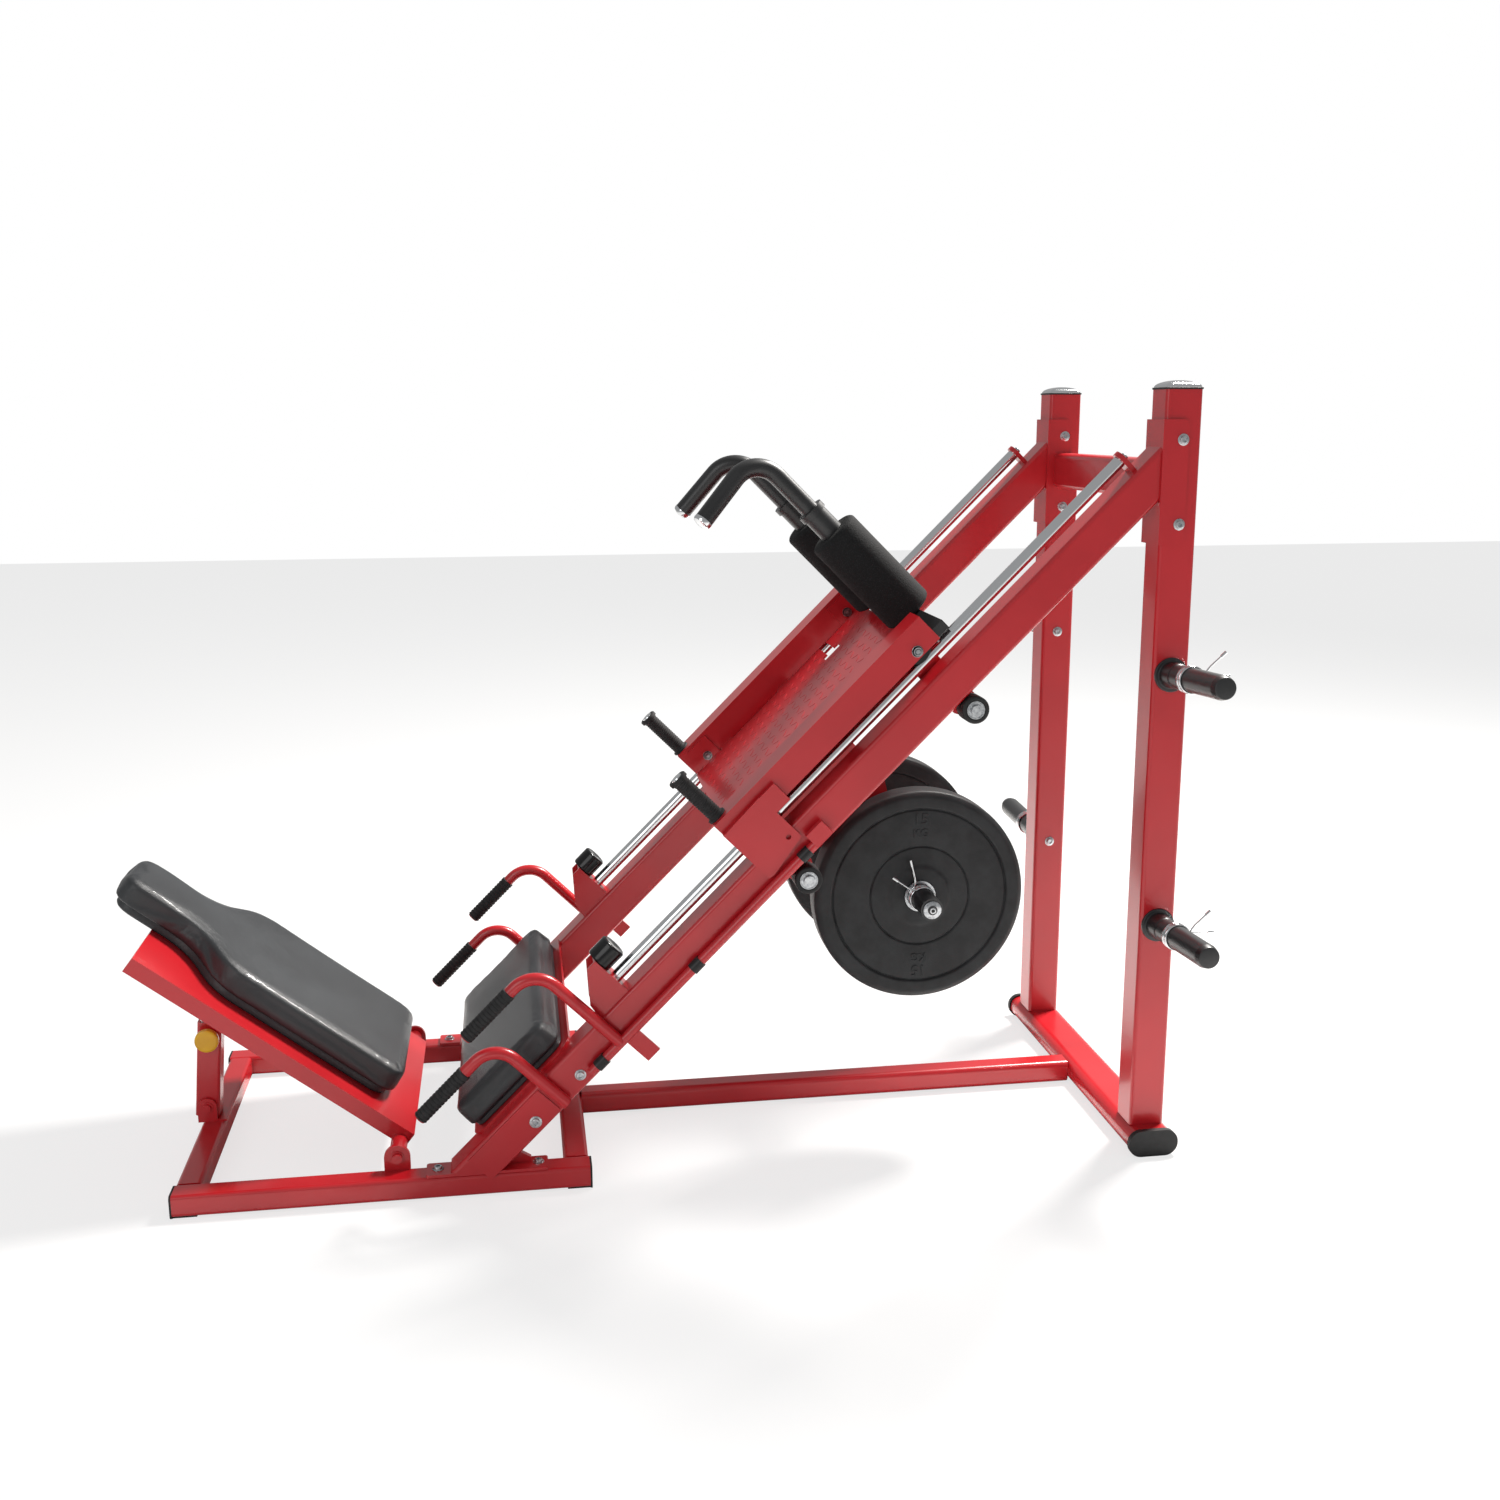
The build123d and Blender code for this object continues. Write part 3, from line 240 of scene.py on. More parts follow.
def lathe_into(bm, profile, origin, way, steps=64):
    """Spins (distance along way, radius) pairs into a closed turned form."""
    way = way.normalized()
    u, v = frame_of(way)
    rings = []
    for h, r in profile:
        if r < 1e-6:
            rings.append([bm.verts.new(origin + way * h)])
        else:
            rings.append([bm.verts.new(origin + way * h + (u * cos(2 * pi * k / steps)
                                                           + v * sin(2 * pi * k / steps)) * r)
                          for k in range(steps)])
    for a, b in zip(rings, rings[1:]):
        for k in range(steps):
            n = (k + 1) % steps
            if len(a) == 1 and len(b) == 1:
                break
            if len(a) == 1:
                bm.faces.new((a[0], b[n], b[k]))
            elif len(b) == 1:
                bm.faces.new((a[k], a[n], b[0]))
            else:
                bm.faces.new((a[k], a[n], b[n], b[k]))
    if len(rings[0]) > 1 and len(rings[-1]) > 1 and abs(profile[0][1] - profile[-1][1]) < 1e-9 \
            and abs(profile[0][0] - profile[-1][0]) < 1e-9:
        bmesh.ops.remove_doubles(bm, verts=rings[0] + rings[-1], dist=1e-6)


def rounded(points, radius, steps=4):
    """Rounds the corners of an open run of (along, radius) points."""
    out = [points[0]]
    for a, b, c in zip(points, points[1:], points[2:]):
        va, vc = Vector(a) - Vector(b), Vector(c) - Vector(b)
        k = min(radius, va.length * 0.45, vc.length * 0.45)
        if k < 1e-6 or va.length < 1e-9 or vc.length < 1e-9:
            out.append(b)
            continue
        p, q, m = Vector(b) + va.normalized() * k, Vector(b) + vc.normalized() * k, Vector(b)
        for i in range(steps + 1):
            f = i / steps
            out.append(tuple((1 - f) ** 2 * p + 2 * f * (1 - f) * m + f * f * q))
    out.append(points[-1])
    return out


def sweep_into(bm, path, radius, steps=20, caps=True):
    """A round tube along points, turned without twist. radius may be a number or a list."""
    radii = radius if isinstance(radius, (list, tuple)) else [radius] * len(path)
    t0 = (path[1] - path[0]).normalized()
    u, _ = frame_of(t0)
    rings = []
    for i, p in enumerate(path):
        a = path[max(i - 1, 0)]
        b = path[min(i + 1, len(path) - 1)]
        t = (b - a).normalized()
        u = (u - t * u.dot(t)).normalized()
        v = t.cross(u)
        rings.append([bm.verts.new(p + (u * cos(2 * pi * k / steps) + v * sin(2 * pi * k / steps)) * radii[i])
                      for k in range(steps)])
    for a, b in zip(rings, rings[1:]):
        for k in range(steps):
            n = (k + 1) % steps
            bm.faces.new((a[k], a[n], b[n], b[k]))
    if caps:
        bm.faces.new(list(reversed(rings[0])))
        bm.faces.new(rings[-1])


def bend_path(points, radius, steps=14):
    """Straight runs joined by round bends."""
    out = [points[0]]
    for a, b, c in zip(points, points[1:], points[2:]):
        ia, ic = (a - b).normalized(), (c - b).normalized()
        half = ia.angle(ic) / 2
        k = radius / math.tan(half)
        centre = b + (ia + ic).normalized() * (radius / sin(half))
        p, q = b + ia * k, b + ic * k
        u = (p - centre)
        w = (q - centre)
        total = u.angle(w)
        for i in range(steps + 1):
            f = i / steps
            out.append(centre + (u * sin((1 - f) * total) + w * sin(f * total)) / sin(total))
    out.append(points[-1])
    return out


def socket_bolt(bm, origin, way, r=0.0085, head=0.005, washer=0.012):
    """Washer, then domed head with a round socket recess, as two turned forms."""
    lathe_into(bm, [(0, 0), (0, washer), (0.0012, washer), (0.0016, washer - 0.0006), (0.0016, 0)], origin, way, 32)
    o = origin + way.normalized() * 0.0016
    lathe_into(bm, rounded([(0, r), (head, r * 0.97), (head, r * 0.55)], 0.0025)
               + [(head - 0.0003, r * 0.55), (head * 0.35, r * 0.5), (head * 0.35, 0)], o, way, 6 * 6)


def bolts(name, spots, body, replaces=()):
    bm = bmesh.new()
    for origin, way, r, washer in spots:
        socket_bolt(bm, origin, way, r=r, washer=washer)
    return finish_piece(from_bm(name, bm), ZINC, body, replaces)


# ------------------------------------------------------------------ steelwork edges
def soften(node, width=0.0015, angle=40, segments=2):
    """A small radius on a CAD node's sharp edges, so they catch light as real steel does."""
    o = NODES[node]
    b = o.modifiers.new("edge", "BEVEL")
    b.width, b.segments, b.limit_method, b.angle_limit = width, segments, "ANGLE", radians(angle)
    b.harden_normals = False


# ------------------------------------------------------------------ weight plates
def weight_plate(name, side):
    bm = bmesh.new()
    mid = at(0.972, -0.211, 0)
    out = SIDE * side
    base = mid + out * 0.1465
    R, T = 0.228, 0.068
    face = [(T - 0.0035, 0.0252), (T - 0.0035, 0.033), (T, 0.034), (T, 0.06), (T - 0.004, 0.068),
            (T - 0.004, 0.47 * R - 0.002), (T - 0.007, 0.47 * R), (T - 0.0035, 0.47 * R + 0.003),
            (T - 0.0035, 0.83 * R - 0.003), (T - 0.0065, 0.83 * R), (T - 0.001, 0.83 * R + 0.003),
            (T - 0.001, R - 0.012), (T - 0.008, R - 0.001), (T - 0.016, R)]
    back = [(T - h, r) for h, r in reversed(face)]
    run = rounded(face + back, 0.004, 3)
    lathe_into(bm, run + [run[0]], base, out, 128)
    bm.verts.ensure_lookup_table()
    bmesh.ops.remove_doubles(bm, verts=bm.verts, dist=1e-6)
    return finish_piece(from_bm(f"disc_{name}", bm), DISC, f"weight_plate_{name}",
                        (f"weight_plate_{name}",), smooth=30)


def raised_word(name, text, size, radius, turn, side):
    """Generic raised weight mark, cut from a text outline and wrapped to the plate's ring."""
    bpy.ops.object.text_add()
    o = bpy.context.object
    o.data.body = text
    o.data.size = size
    o.data.extrude = 0.0011
    o.data.bevel_depth = 0.0004
    o.data.align_x, o.data.align_y = "CENTER", "CENTER"
    bpy.ops.object.convert(target="MESH")
    o = bpy.context.object
    bm = bmesh.new()
    bm.from_mesh(o.data)
    bpy.data.objects.remove(o)
    mid = at(0.972, -0.211, 0) + SIDE * side * (0.1465 + 0.068 - 0.0033)
    for v in bm.verts:
        x, y, z = v.co
        a = turn - x / radius
        r = radius + y
        v.co = mid + Vector((cos(a) * r * -side, 0, sin(a) * r)) + SIDE * side * z
    return from_bm(name, bm)


for name, side in NEAR_FAR:
    weight_plate(name, side)
    for i, turn in enumerate((pi / 2, -pi / 2)):
        for word, rr, size in (("15", 0.167, 0.034), ("KG", 0.137, 0.024)):
            o = raised_word(f"mark_{name}_{word}_{i}", word, size, rr if turn > 0 else rr, turn, side)
            finish_piece(o, DISC, f"weight_plate_{name}")
    bm = bmesh.new()
    lathe_into(bm, [(0, 0.0243), (0, 0.0335), (0.003, 0.0335), (0.003, 0.0243), (0, 0.0243)],
               at(0.972, -0.211, 0) + SIDE * side * (0.1465 + 0.0665), SIDE * side, 48)
    finish_piece(from_bm(f"disc_ring_{name}", bm), ZINC, f"weight_plate_{name}")


# ------------------------------------------------------------------ spring collars
def collar(name, origin, way, radius, turn, body, replaces=()):
    """Wire spring collar: close coils and two finger arms bent out."""
    bm = bmesh.new()
    way = way.normalized()
    u, v = frame_of(way)
    wire = 0.0019
    pts = []
    coils, n = 5, 30
    for k in range(coils * n + 1):
        a = turn + 2 * pi * k / n
        pts.append(origin + way * (wire + k / n * wire * 2.15) + (u * cos(a) + v * sin(a)) * (radius + wire))
    first = (pts[0] - pts[1]).normalized()
    last = (pts[-1] - pts[-2]).normalized()
    out0 = (pts[0] - origin - way * (pts[0] - origin).dot(way)).normalized()
    lead = [pts[0] + first * 0.006 + out0 * 0.004, pts[0] + first * 0.012 + out0 * 0.014,
            pts[0] + out0 * 0.05 + first * 0.026]
    tail = [pts[-1] + last * 0.006 + out0 * 0.004, pts[-1] + last * 0.012 + out0 * 0.014,
            pts[-1] + out0 * 0.05 + last * 0.026]
    sweep_into(bm, list(reversed(lead)) + pts + tail, wire, 10)
    for end, pre in ((lead[-1], lead[-2]), (tail[-1], tail[-2])):
        d = (end - pre).normalized()
        lathe_into(bm, [(0, 0), (0, wire * 1.7), (0.014, wire * 1.7), (0.014, 0)], end - d * 0.012, d, 16)
    return finish_piece(from_bm(name, bm), CHROME, body, replaces)


for name, side in NEAR_FAR:
    collar(f"collar_{name}", at(0.972, -0.211, side * 0.2185), SIDE * side, 0.0243, 0.6, f"load_collar_{name}",
           (f"load_collar_{name}",))
tilt = radians(3.0)
PEGS = [(z, side) for z in (1.027, 0.501) for side in (-1, 1)]
for i, (z, side) in enumerate(PEGS):
    way = Vector((0, side * cos(tilt), sin(tilt)))
    foot = Vector((X0 + 1.3035, side * 0.3705, z))
    collar(f"store_collar_{i}", foot + way * 0.084, way, 0.0243, -1.2, "frame", ("storage_collars",))

# ------------------------------------------------------------------ pegs
bm = bmesh.new()
for z, side in PEGS:
    way = Vector((0, side * cos(tilt), sin(tilt)))
    foot = Vector((X0 + 1.3035, side * 0.3705, z))
    lathe_into(bm, [(0, 0)] + rounded([(0, 0.035), (0.006, 0.035), (0.006, 0.027), (0.044, 0.026), (0.046, 0.0243),
                                       (0.235, 0.0243), (0.249, 0.021), (0.25, 0.0)], 0.002), foot, way, 48)
finish_piece(from_bm("storage_peg_sleeves", bm), BLACK, "frame", ("storage_pegs",))

# ------------------------------------------------------------------ foam rollers, shoulder handles
bm = bmesh.new()
for side in (-1, 1):
    foot = at(1.384, 0.226, side * 0.1475)
    lathe_into(bm, rounded([(0.0, 0.026), (0.0, 0.048), (0.006, 0.055), (0.23, 0.055), (0.236, 0.048),
                            (0.236, 0.026)], 0.009, 5) + [(0.0, 0.026)], foot, UP, 72)
    bmesh.ops.remove_doubles(bm, verts=bm.verts, dist=1e-6)
shell = finish_piece(from_bm("foam_sleeves", bm), FOAM, "sled", ("foam_rollers",))

bm = bmesh.new()
caps = bmesh.new()
for side in (-1, 1):
    y, ty = side * 0.1475, side * 0.184
    path = bend_path([at(1.384, 0.286, y), at(1.384, 0.688, y), at(1.211, 0.672, ty)], 0.060, 18)
    sweep_into(bm, path, 0.019, 36)
    d = (path[-1] - path[-2]).normalized()
    lathe_into(caps, [(-0.004, 0.0195), (0.001, 0.0198), (0.005, 0.018), (0.008, 0.012), (0.0095, 0)],
               path[-1], d, 36)
    lathe_into(caps, [(-0.004, 0.0), (-0.004, 0.0195)], path[-1], d, 36)
finish_piece(from_bm("shoulder_handle_tubes", bm), BLACK, "sled", ("shoulder_handles",))
bmesh.ops.remove_doubles(caps, verts=caps.verts, dist=1e-6)
finish_piece(from_bm("handle_end_caps", caps), CHROME, "sled")

# ------------------------------------------------------------------ grips
def ribbed_grip(bm, origin, way, length, radius, ribs, depth=0.0012, tip=0.006, lip=0.0):
    """Moulded rubber grip: closed domed end, finger ribs, small lip at the open end."""
    run = [(0, 0), (0.001, radius * 0.55), (0.004, radius * 0.9), (tip, radius)]
    for k in range(ribs):
        a = tip + (length - 2 * tip) * k / ribs
        b = tip + (length - 2 * tip) * (k + 1) / ribs
        w = b - a
        run += [(a + w * 0.15, radius), (a + w * 0.3, radius - depth), (a + w * 0.55, radius - depth),
                (a + w * 0.7, radius)]
    run += [(length - tip * 0.6, radius + lip), (length - 0.001, radius + lip), (length, radius - 0.0015),
            (length, 0.0)]
    lathe_into(bm, run, origin, way, 40)


bm = bmesh.new()
for side in (-1, 1):
    ribbed_grip(bm, at(-0.024, 0.283, side * 0.383), RUN, 0.131, 0.0150, 14)
finish_piece(from_bm("lower_rubber_grips", bm), GRIP, "frame", ("lower_grips",))
for name, side in NEAR_FAR:
    bm = bmesh.new()
    ribbed_grip(bm, at(0.158, 0.331, side * 0.3845), RUN, 0.127, 0.0150, 14)
    finish_piece(from_bm(f"lever_rubber_grip_{name}", bm), GRIP, f"safety_lever_{name}",
                 (f"lever_grip_{name}",))
bm = bmesh.new()
caps = bmesh.new()
for side in (-1, 1):
    foot = at(0.812, 0.2632, side * 0.32825)
    run = [(0, 0), (0, 0.0205), (0.004, 0.0205), (0.006, 0.0165)]
    for k in range(18):
        a = 0.008 + 0.0052 * k
        run += [(a, 0.0165), (a + 0.0012, 0.0155), (a + 0.0032, 0.0155), (a + 0.0044, 0.0165)]
    run += [(0.104, 0.0165), (0.106, 0.0205), (0.113, 0.0205), (0.1145, 0.019), (0.1145, 0.0)]
    lathe_into(bm, run, foot, UP, 40)
    lathe_into(caps, [(0.1145, 0.0), (0.1145, 0.0125), (0.1165, 0.0115), (0.1175, 0.0)], foot, UP, 32)
finish_piece(from_bm("sled_rubber_grips", bm), GRIP, "sled", ("sled_grips",))
finish_piece(from_bm("sled_grip_tips", caps), CHROME, "sled")

# ------------------------------------------------------------------ rollers
for end, s in (("low", 0.847), ("high", 1.320)):
    for name, side in NEAR_FAR:
        bm = bmesh.new()
        c = at(s, 0.0485, side * 0.328)
        lathe_into(bm, rounded([(0.0005, 0.019), (0.0005, 0.025), (0.003, 0.028), (0.047, 0.028), (0.0495, 0.025),
                                (0.0495, 0.019), (0.047, 0.0185), (0.003, 0.0185), (0.0005, 0.019)], 0.002), c,
                   SIDE * side, 56)
        bmesh.ops.remove_doubles(bm, verts=bm.verts, dist=1e-6)
        body = f"under_roller_{end}_{name}"
        finish_piece(from_bm(f"lower_tyre_{end}_{name}", bm), RUBBER, body, (body,))
        bm = bmesh.new()
        lathe_into(bm, rounded([(0.001, 0.0085), (0.001, 0.0182), (0.049, 0.0182), (0.049, 0.0165), (0.048, 0.0160),
                                (0.048, 0.0125), (0.049, 0.012), (0.049, 0.0085), (0.001, 0.0085)], 0.0004), c,
                   SIDE * side, 48)
        bmesh.ops.remove_doubles(bm, verts=bm.verts, dist=1e-6)
        finish_piece(from_bm(f"lower_bearing_{end}_{name}", bm), ZINC, body)

# ------------------------------------------------------------------ bumpers and post caps
bm = bmesh.new()
for side in (-1, 1):
    foot = at(0.439, 0.232, side * RAIL_Y)
    lathe_into(bm, [(0, 0)] + rounded([(0, 0.0265), (0.003, 0.0275), (0.042, 0.0275), (0.045, 0.0245), (0.0445, 0.013),
                                       (0.043, 0.0)], 0.003), foot, RUN, 56)
finish_piece(from_bm("stop_bumpers", bm), BUMPER, "frame", ("bumpers",))


def rounded_square(half, corner, steps=8):
    pts = []
    for cx, cy, a0 in ((1, 1, 0), (-1, 1, pi / 2), (-1, -1, pi), (1, -1, 3 * pi / 2)):
        for k in range(steps + 1):
            a = a0 + pi / 2 * k / steps
            pts.append(((half - corner) * cx + corner * cos(a), (half - corner) * cy + corner * sin(a)))
    return pts


def domed_cap(name, material, layers, replaces=()):
    """Stacked rounded squares: (height, half width, corner)."""
    bm = bmesh.new()
    for side in (-1, 1):
        rings = []
        for h, half, corner in layers:
            rings.append([bm.verts.new((X0 + 1.3035 + x, side * RAIL_Y + y, h))
                          for x, y in rounded_square(half, corner)])
        for a, b in zip(rings, rings[1:]):
            for k in range(len(a)):
                n = (k + 1) % len(a)
                bm.faces.new((a[k], a[n], b[n], b[k]))
        bm.faces.new(list(reversed(rings[0])))
        bm.faces.new(rings[-1])
    return finish_piece(from_bm(name, bm), material, "frame", replaces)


dome = [(1.591, 0.0370, 0.0085)]
for k in range(1, 11):
    a = k / 10 * pi / 2
    dome.append((1.591 + 0.0135 * sin(a), 0.037 - 0.034 * (1 - cos(a)), 0.0085 + 0.0 * k
                 if 0.037 - 0.034 * (1 - cos(a)) > 0.012 else 0.003))
domed_cap("post_dome_caps", CHROME, dome, ("post_caps",))
domed_cap("post_cap_gaskets", RUBBER,
          [(1.587, 0.0385, 0.009), (1.5875, 0.0395, 0.01), (1.5905, 0.0395, 0.01), (1.591, 0.0385, 0.009)])

# ------------------------------------------------------------------ pull knob
STRUT_FOOT = Vector((X0 - 0.688, 0, 0.082))
STRUT = Vector((0.0859910, 0, 0.9962959))
pin = STRUT_FOOT + STRUT * 0.16 + Vector((0, -0.0395, 0))
bm = bmesh.new()
lathe_into(bm, [(0, 0), (0.0, 0.012), (0.001, 0.0225), (0.003, 0.0246), (0.005, 0.025), (0.0125, 0.025),
                (0.015, 0.0242), (0.0165, 0.022), (0.017, 0.019), (0.0168, 0.0)], pin, Vector((0, -1, 0)), 48)
finish_piece(from_bm("yellow_knob", bm), YELLOW, "pull_pin", ("pull_knob",))

# ------------------------------------------------------------------ tread plate
def lift_frame(p):
    return lambda s, y: at(s, p, y)


def tread():
    """Raised crossed bars on the steel tread plate, in a grid with one small patch left bare."""
    bm = bmesh.new()
    s0, s1, h = 0.797, 1.352, 0.252
    lo, hi = 0.206, 0.2095
    n = 0
    pitch = 0.028
    rows = int((s1 - s0 - 0.012) / pitch)
    cols = int((2 * h - 0.012) / pitch)
    for i in range(rows):
        for j in range(cols):
            s = s0 + 0.012 + pitch * (i + 0.5)
            y = -h + 0.012 + pitch * (j + 0.5)
            if 1.195 < s < 1.25 and 0.12 < y < 0.26:
                continue
            a = radians(45 if (i + j) % 2 else -45)
            bar(bm, s, y, a, 0.0125, 0.0036, hi, hi + 0.0021)
            n += 1
    return finish_piece(from_bm("tread_bars", bm), RED, "sled")


def bar(bm, s, y, a, half, wide, low, high):
    """A raised lens-shaped tread bar."""
    d, e = (cos(a), sin(a)), (-sin(a), cos(a))
    base, top = [], []
    for k in range(10):
        t = 2 * pi * k / 10
        u, w = cos(t) * half, sin(t) * wide
        base.append(bm.verts.new(at(s + d[0] * u + e[0] * w, low, y + d[1] * u + e[1] * w)))
        u, w = u * 0.8, w * 0.4
        top.append(bm.verts.new(at(s + d[0] * u + e[0] * w, high, y + d[1] * u + e[1] * w)))
    for k in range(10):
        m = (k + 1) % 10
        bm.faces.new((base[k], base[m], top[m], top[k]))
    bm.faces.new(top)
    bm.faces.new(list(reversed(base)))


tread()

# ------------------------------------------------------------------ pads
def outline_mesh(name, outline, place, layers):
    """Closed form from one outline: layers are (height, inset)."""
    bm = bmesh.new()
    rings = []
    n = len(outline)
    for h, inset in layers:
        ring = []
        for k in range(n):
            p, a, b = Vector(outline[k]), Vector(outline[k - 1]), Vector(outline[(k + 1) % n])
            t = (b - a).normalized()
            q = p + Vector((-t.y, t.x)) * inset
            ring.append(bm.verts.new(place(q.x, q.y, h)))
        rings.append(ring)
    for a, b in zip(rings, rings[1:]):
        for k in range(n):
            m = (k + 1) % n
            bm.faces.new((a[k], a[m], b[m], b[k]))
    bm.faces.new(list(reversed(rings[0])))
    bm.faces.new(rings[-1])
    return from_bm(name, bm)


def round_outline(points, radius, steps=8):
    """Closed outline with rounded corners, counter-clockwise."""
    out = []
    n = len(points)
    for k in range(n):
        a, b, c = Vector(points[k - 1]), Vector(points[k]), Vector(points[(k + 1) % n])
        va, vc = (a - b), (c - b)
        r = radius[k] if isinstance(radius, (list, tuple)) else radius
        half = va.angle(vc) / 2
        cut = min(r / math.tan(half), va.length * 0.48, vc.length * 0.48)
        p, q = b + va.normalized() * cut, b + vc.normalized() * cut
        for i in range(steps + 1):
            f = i / steps
            out.append(tuple((1 - f) ** 2 * p + 2 * f * (1 - f) * b + f * f * q))
    dense = []
    for a, b in zip(out, out[1:] + out[:1]):
        a, b = Vector(a), Vector(b)
        m = max(1, int((b - a).length / 0.02))
        for i in range(m):
            dense.append(tuple(a + (b - a) * i / m))
    return dense


def puff(obj, cap, up, base, voxel=0.0045, pressure=4.0, frames=20):
    """Swells a pad like stuffed upholstery, holding its underside flat."""
    bpy.ops.object.select_all(action="DESELECT")
    obj.select_set(True)
    bpy.context.view_layer.objects.active = obj
    r = obj.modifiers.new("remesh", "REMESH")
    r.mode, r.voxel_size = "VOXEL", voxel
    bpy.ops.object.modifier_apply(modifier="remesh")
    start = [v.co.copy() for v in obj.data.vertices]
    group = obj.vertex_groups.new(name="held")
    held = [v.index for v in obj.data.vertices if (v.co - base).dot(up) < 0.004]
    group.add(held, 1.0, "REPLACE")
    cl = obj.modifiers.new("cloth", "CLOTH")
    cl.settings.use_pressure = True
    cl.settings.uniform_pressure_force = pressure
    cl.settings.effector_weights.gravity = 0
    cl.settings.vertex_group_mass = "held"
    cl.settings.tension_stiffness = cl.settings.compression_stiffness = 12
    cl.settings.bending_stiffness = 0.5
    cl.settings.quality = 4
    cl.point_cache.frame_start, cl.point_cache.frame_end = 1, frames
    scene = bpy.context.scene
    for f in range(1, frames + 1):
        scene.frame_set(f)
    deps = bpy.context.evaluated_depsgraph_get()
    ev = obj.evaluated_get(deps).to_mesh()
    moved = [v.co.copy() for v in ev.vertices]
    obj.evaluated_get(deps).to_mesh_clear()
    obj.modifiers.remove(cl)
    scene.frame_set(1)
    for v, a, b in zip(obj.data.vertices, start, moved):
        d = b - a
        if d.length > cap:
            d = d.normalized() * cap
        v.co = a + d
    return start


def pad(name, outline, place, up, base, layers, cap, body, node, seam_drop):
    obj = outline_mesh(name, outline, place, layers)
    puff(obj, cap, up, base)
    sm = obj.modifiers.new("smooth", "SMOOTH")
    sm.iterations, sm.factor = 2, 0.5
    bpy.ops.object.modifier_apply(modifier="smooth")
    sub = obj.modifiers.new("sub", "SUBSURF")
    sub.levels = sub.render_levels = 1
    bpy.ops.object.modifier_apply(modifier="sub")
    finish_piece(obj, VINYL, body, (node,) if node else (), smooth=60)
    return obj


# seat pad: a thin base board wrapped in vinyl and a thick main cushion
def seat_place(s, y, h):
    return at(s, 0.1593 + h, y)


seat_out = round_outline([(0.006, -0.324), (0.264, -0.324), (0.264, 0.324), (0.006, 0.324)], 0.034)
seat_in = round_outline([(0.013, -0.316), (0.257, -0.316), (0.257, 0.316), (0.013, 0.316)], 0.03)
pad("seat_cushion", seat_out, seat_place, UP, at(0.13, 0.1715, 0),
    [(0.0125, 0.003), (0.0155, 0.0), (0.054, 0.0), (0.0585, 0.0015), (0.062, 0.005), (0.0635, 0.01)], 0.003, "frame", "seat_pad", 0.0)
base = outline_mesh("seat_base_board", seat_in, seat_place, [(0.0, 0.002), (0.002, 0.0), (0.01, 0.0), (0.0122, 0.002)])
finish_piece(base, VINYL, "frame")

# back pad: bottle-shaped, in the backrest's own slope
BA = radians(38.2)
BU = Vector((-cos(BA), 0, sin(BA)))
BW = Vector((sin(BA), 0, cos(BA)))
PIVOT = Vector((X0 - 0.268, 0, 0.076))


def back_place(u, y, h):
    return PIVOT + BU * u + BW * (0.0295 + h) + SIDE * y


def bottle(grow):
    g = grow
    pts = [(0.056 - g, -0.19 - g), (0.484, -0.19 - g), (0.572, -0.087 - g), (0.756 + g, -0.087 - g),
           (0.756 + g, 0.087 + g), (0.572, 0.087 + g), (0.484, 0.19 + g), (0.056 - g, 0.19 + g)]
    return round_outline(pts, [0.045, 0.11, 0.12, 0.045, 0.045, 0.12, 0.11, 0.045], 10)


pad("back_cushion", bottle(0.0), back_place, BW, back_place(0.3, 0, 0.0185),
    [(0.019, 0.003), (0.022, 0.0), (0.060, 0.0), (0.065, 0.0015), (0.0685, 0.005), (0.07, 0.01)], 0.003, "backrest",
    "backrest_pad", 0.0)
base = outline_mesh("back_base_board", bottle(-0.012), back_place,
                    [(0.0003, 0.002), (0.003, 0.0), (0.015, 0.0), (0.0187, 0.002)])
finish_piece(base, VINYL, "backrest")

# ------------------------------------------------------------------ bolts
spots = []
for side in (-1, 1):
    out = SIDE * side
    spots.append((at(0.1185, 0.103, side * 0.3745), out, 0.009, 0.0125))
    spots.append((at(0.249, 0.104, side * 0.3705), out, 0.0085, 0.0115))
    for z in (1.491, 1.327):
        for face in (-1, 1):
            spots.append((Vector((X0 + 1.302, side * RAIL_Y + face * 0.0425, z)), SIDE * face, 0.008, 0.0115))
    for z in (1.027, 0.501):
        spots.append((Vector((X0 + 1.3035, side * 0.2955, z)), -out, 0.008, 0.0115))
    for x in (-0.187, 0.014):
        spots.append((Vector((X0 + x, side * 0.343, 0.055)), Vector((0, 0, 1)), 0.0085, 0.0115))
    spots.append((at(1.876, 0.183, side * RAIL_Y), RUN, 0.0075, 0.0105))
bolts("frame_socket_bolts", spots, "frame", ("frame_bolts",))
spots = []
for side in (-1, 1):
    out = SIDE * side
    for s in (0.847, 1.320):
        spots.append((at(s, 0.216, side * 0.2875), -out, 0.0085, 0.011))
        spots.append((at(s, 0.0485, side * 0.2875), -out, 0.0085, 0.011))
        spots.append((at(s, 0.0485, side * 0.378), out, 0.0075, 0.0105))
    spots.append((at(1.320, 0.216, side * 0.364), out, 0.0085, 0.0115))
    spots.append((at(0.972, -0.211, side * 0.3135), out, 0.007, 0.019))
bolts("sled_socket_bolts", spots, "sled")

for node in ("rail_post_brackets", "rail_foot_plates", "rod_gussets", "seat_plate", "backrest_frame", "sled_cheeks",
             "roller_hangers", "sled_channels", "shoulder_bar", "weight_hanger", "backrest_ears", "strut_lug",
             "tread_plate"):
    soften(node)

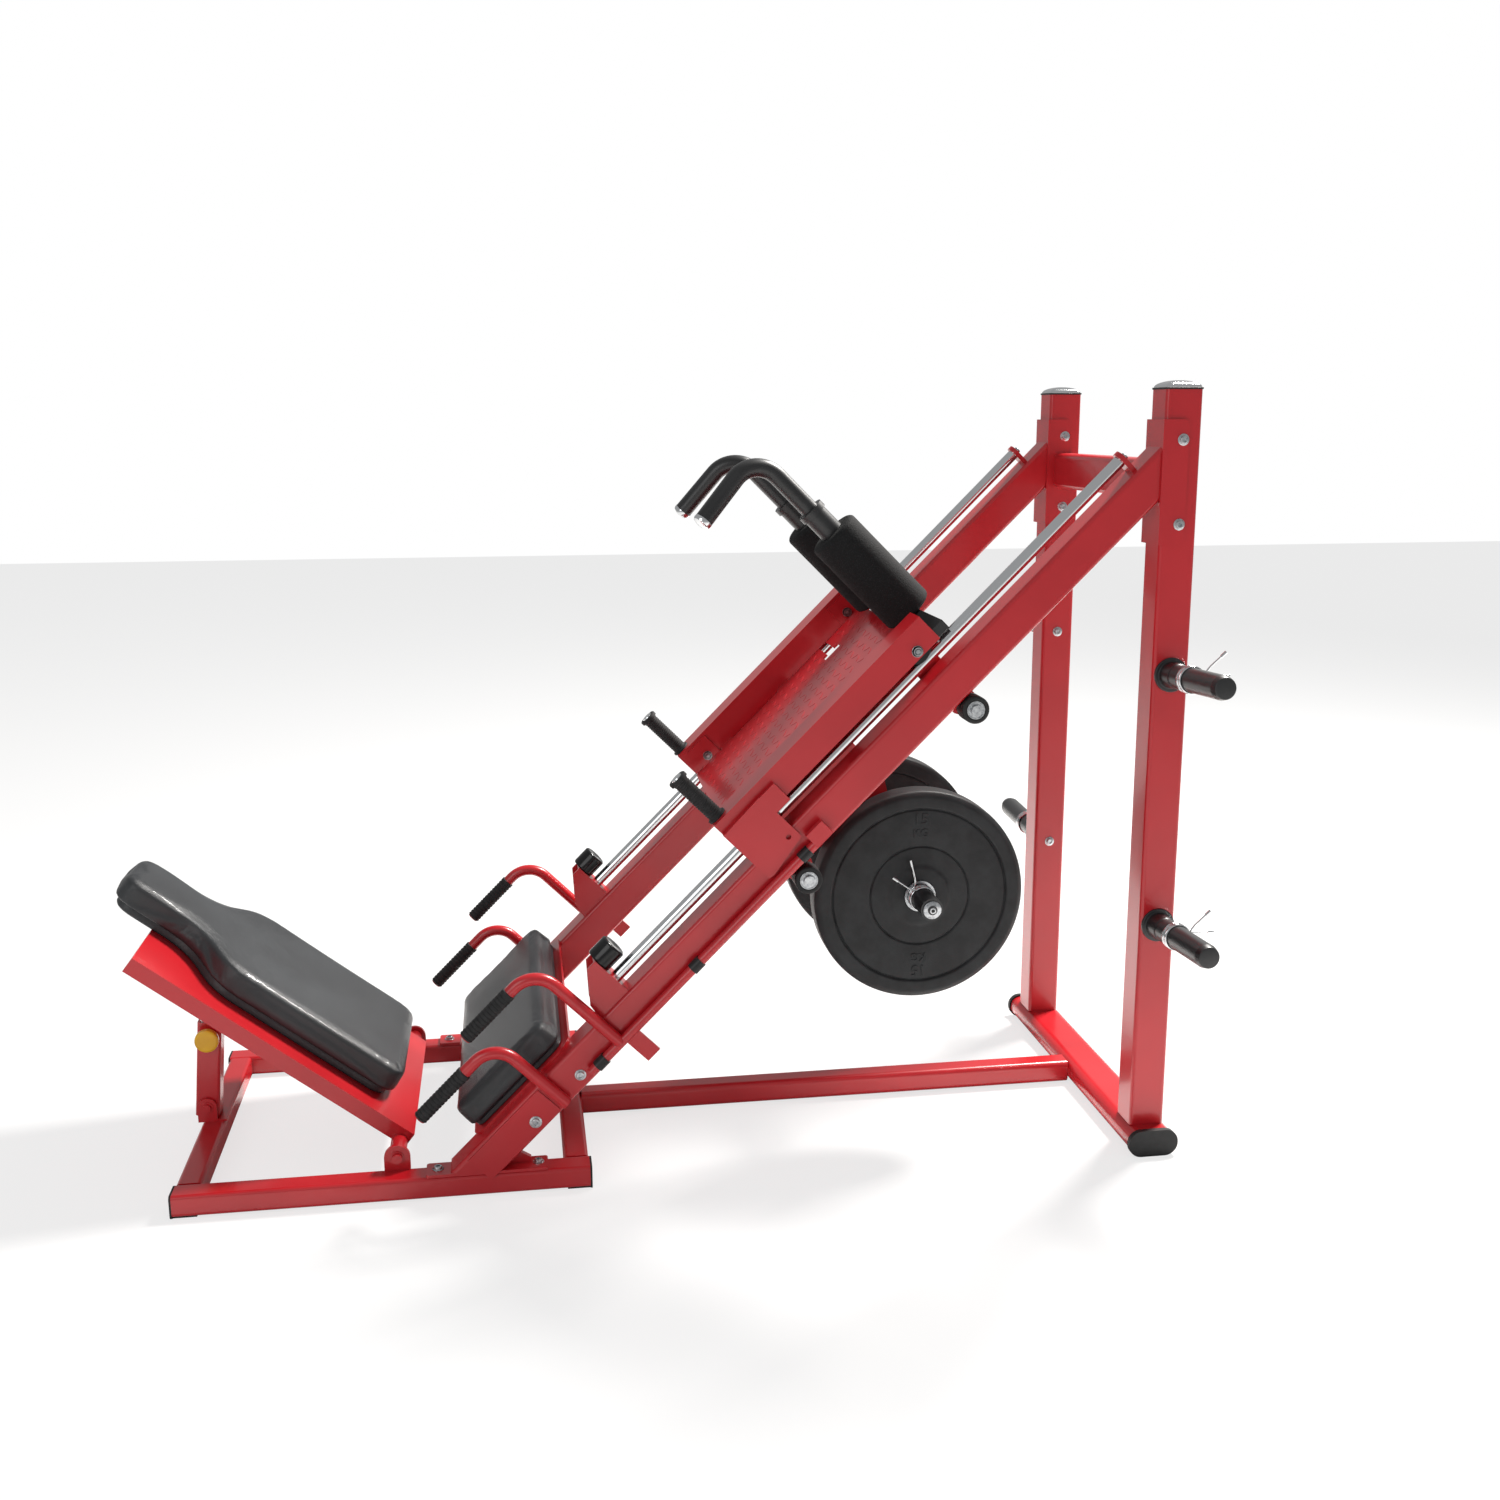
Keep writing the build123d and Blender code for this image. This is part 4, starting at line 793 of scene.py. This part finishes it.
# ------------------------------------------------------------------ stage, light and camera
scene = bpy.context.scene
scene.view_settings.view_transform = "Standard"
bpy.ops.mesh.primitive_plane_add(size=1, location=(0, 0, 0))
floor = bpy.context.object
floor.name = "floor"
floor.scale = (30, 30, 1)
fm, ft, fb, fco = base_material("floor_paint", "f4f4f4", 0.7)
vary(ft, fb, fco, "f0f0f0", "f6f6f6", 0.6)
# the camera sees the floor mostly by its own paleness, so that it stays near white and keeps the shadow
path = ft.nodes.new("ShaderNodeLightPath")
glow = add(ft, "ShaderNodeEmission", Color=(1.0, 1.0, 1.0, 1.0), Strength=1.0)
share = add(ft, "ShaderNodeMath", [(0, path.outputs["Is Camera Ray"])], _operation="MULTIPLY")
share.inputs[1].default_value = 0.72
both = add(ft, "ShaderNodeMixShader", [(0, share.outputs["Value"]), (1, fb.outputs["BSDF"]),
                                       (2, glow.outputs["Emission"])])
ft.links.new(both.outputs["Shader"], ft.nodes["Material Output"].inputs["Surface"])
floor.data.materials.append(fm)

world = bpy.data.worlds.new("studio")
scene.world = world
world.use_nodes = True
wt = world.node_tree
bg = wt.nodes["Background"]
bg.inputs["Color"].default_value = (1, 1, 1, 1)
ray = wt.nodes.new("ShaderNodeLightPath")
seen = add(wt, "ShaderNodeMath", _operation="MAXIMUM")
wt.links.new(ray.outputs["Is Camera Ray"], seen.inputs[0])
wt.links.new(ray.outputs["Is Transmission Ray"], seen.inputs[1])
level = add(wt, "ShaderNodeMapRange", [("Value", seen.outputs["Value"])])
level.inputs["To Min"].default_value, level.inputs["To Max"].default_value = 0.42, 1.0
wt.links.new(level.outputs["Result"], bg.inputs["Strength"])


def area(name, place, aim, size, power, color=(1, 1, 1)):
    light = bpy.data.lights.new(name, "AREA")
    light.shape = "RECTANGLE"
    light.size, light.size_y = size
    light.energy, light.color = power, color
    o = bpy.data.objects.new(name, light)
    scene.collection.objects.link(o)
    o.location = place
    o.rotation_euler = (Vector(aim) - Vector(place)).to_track_quat("-Z", "Y").to_euler()
    return o


area("key", (3.0, 1.6, 4.6), (0, 0, 0.6), (1.0, 1.0), 640, (1.0, 0.97, 0.93))
area("fill", (-3.5, -4.5, 3.0), (0, 0, 0.7), (3.0, 3.0), 60)

cam = bpy.data.cameras.new("camera")
cam_obj = bpy.data.objects.new("camera", cam)
scene.collection.objects.link(cam_obj)
scene.camera = cam_obj
cam.sensor_width = 36.0
cam.lens = 1562.7 / 1500 * 36.0
cam.clip_end = 60
cam_obj.location = (X0 - 0.0024, -3.3134, 1.5305)
cam_obj.rotation_euler = (pi / 2 - 0.2081, 0.0026, -0.1522)
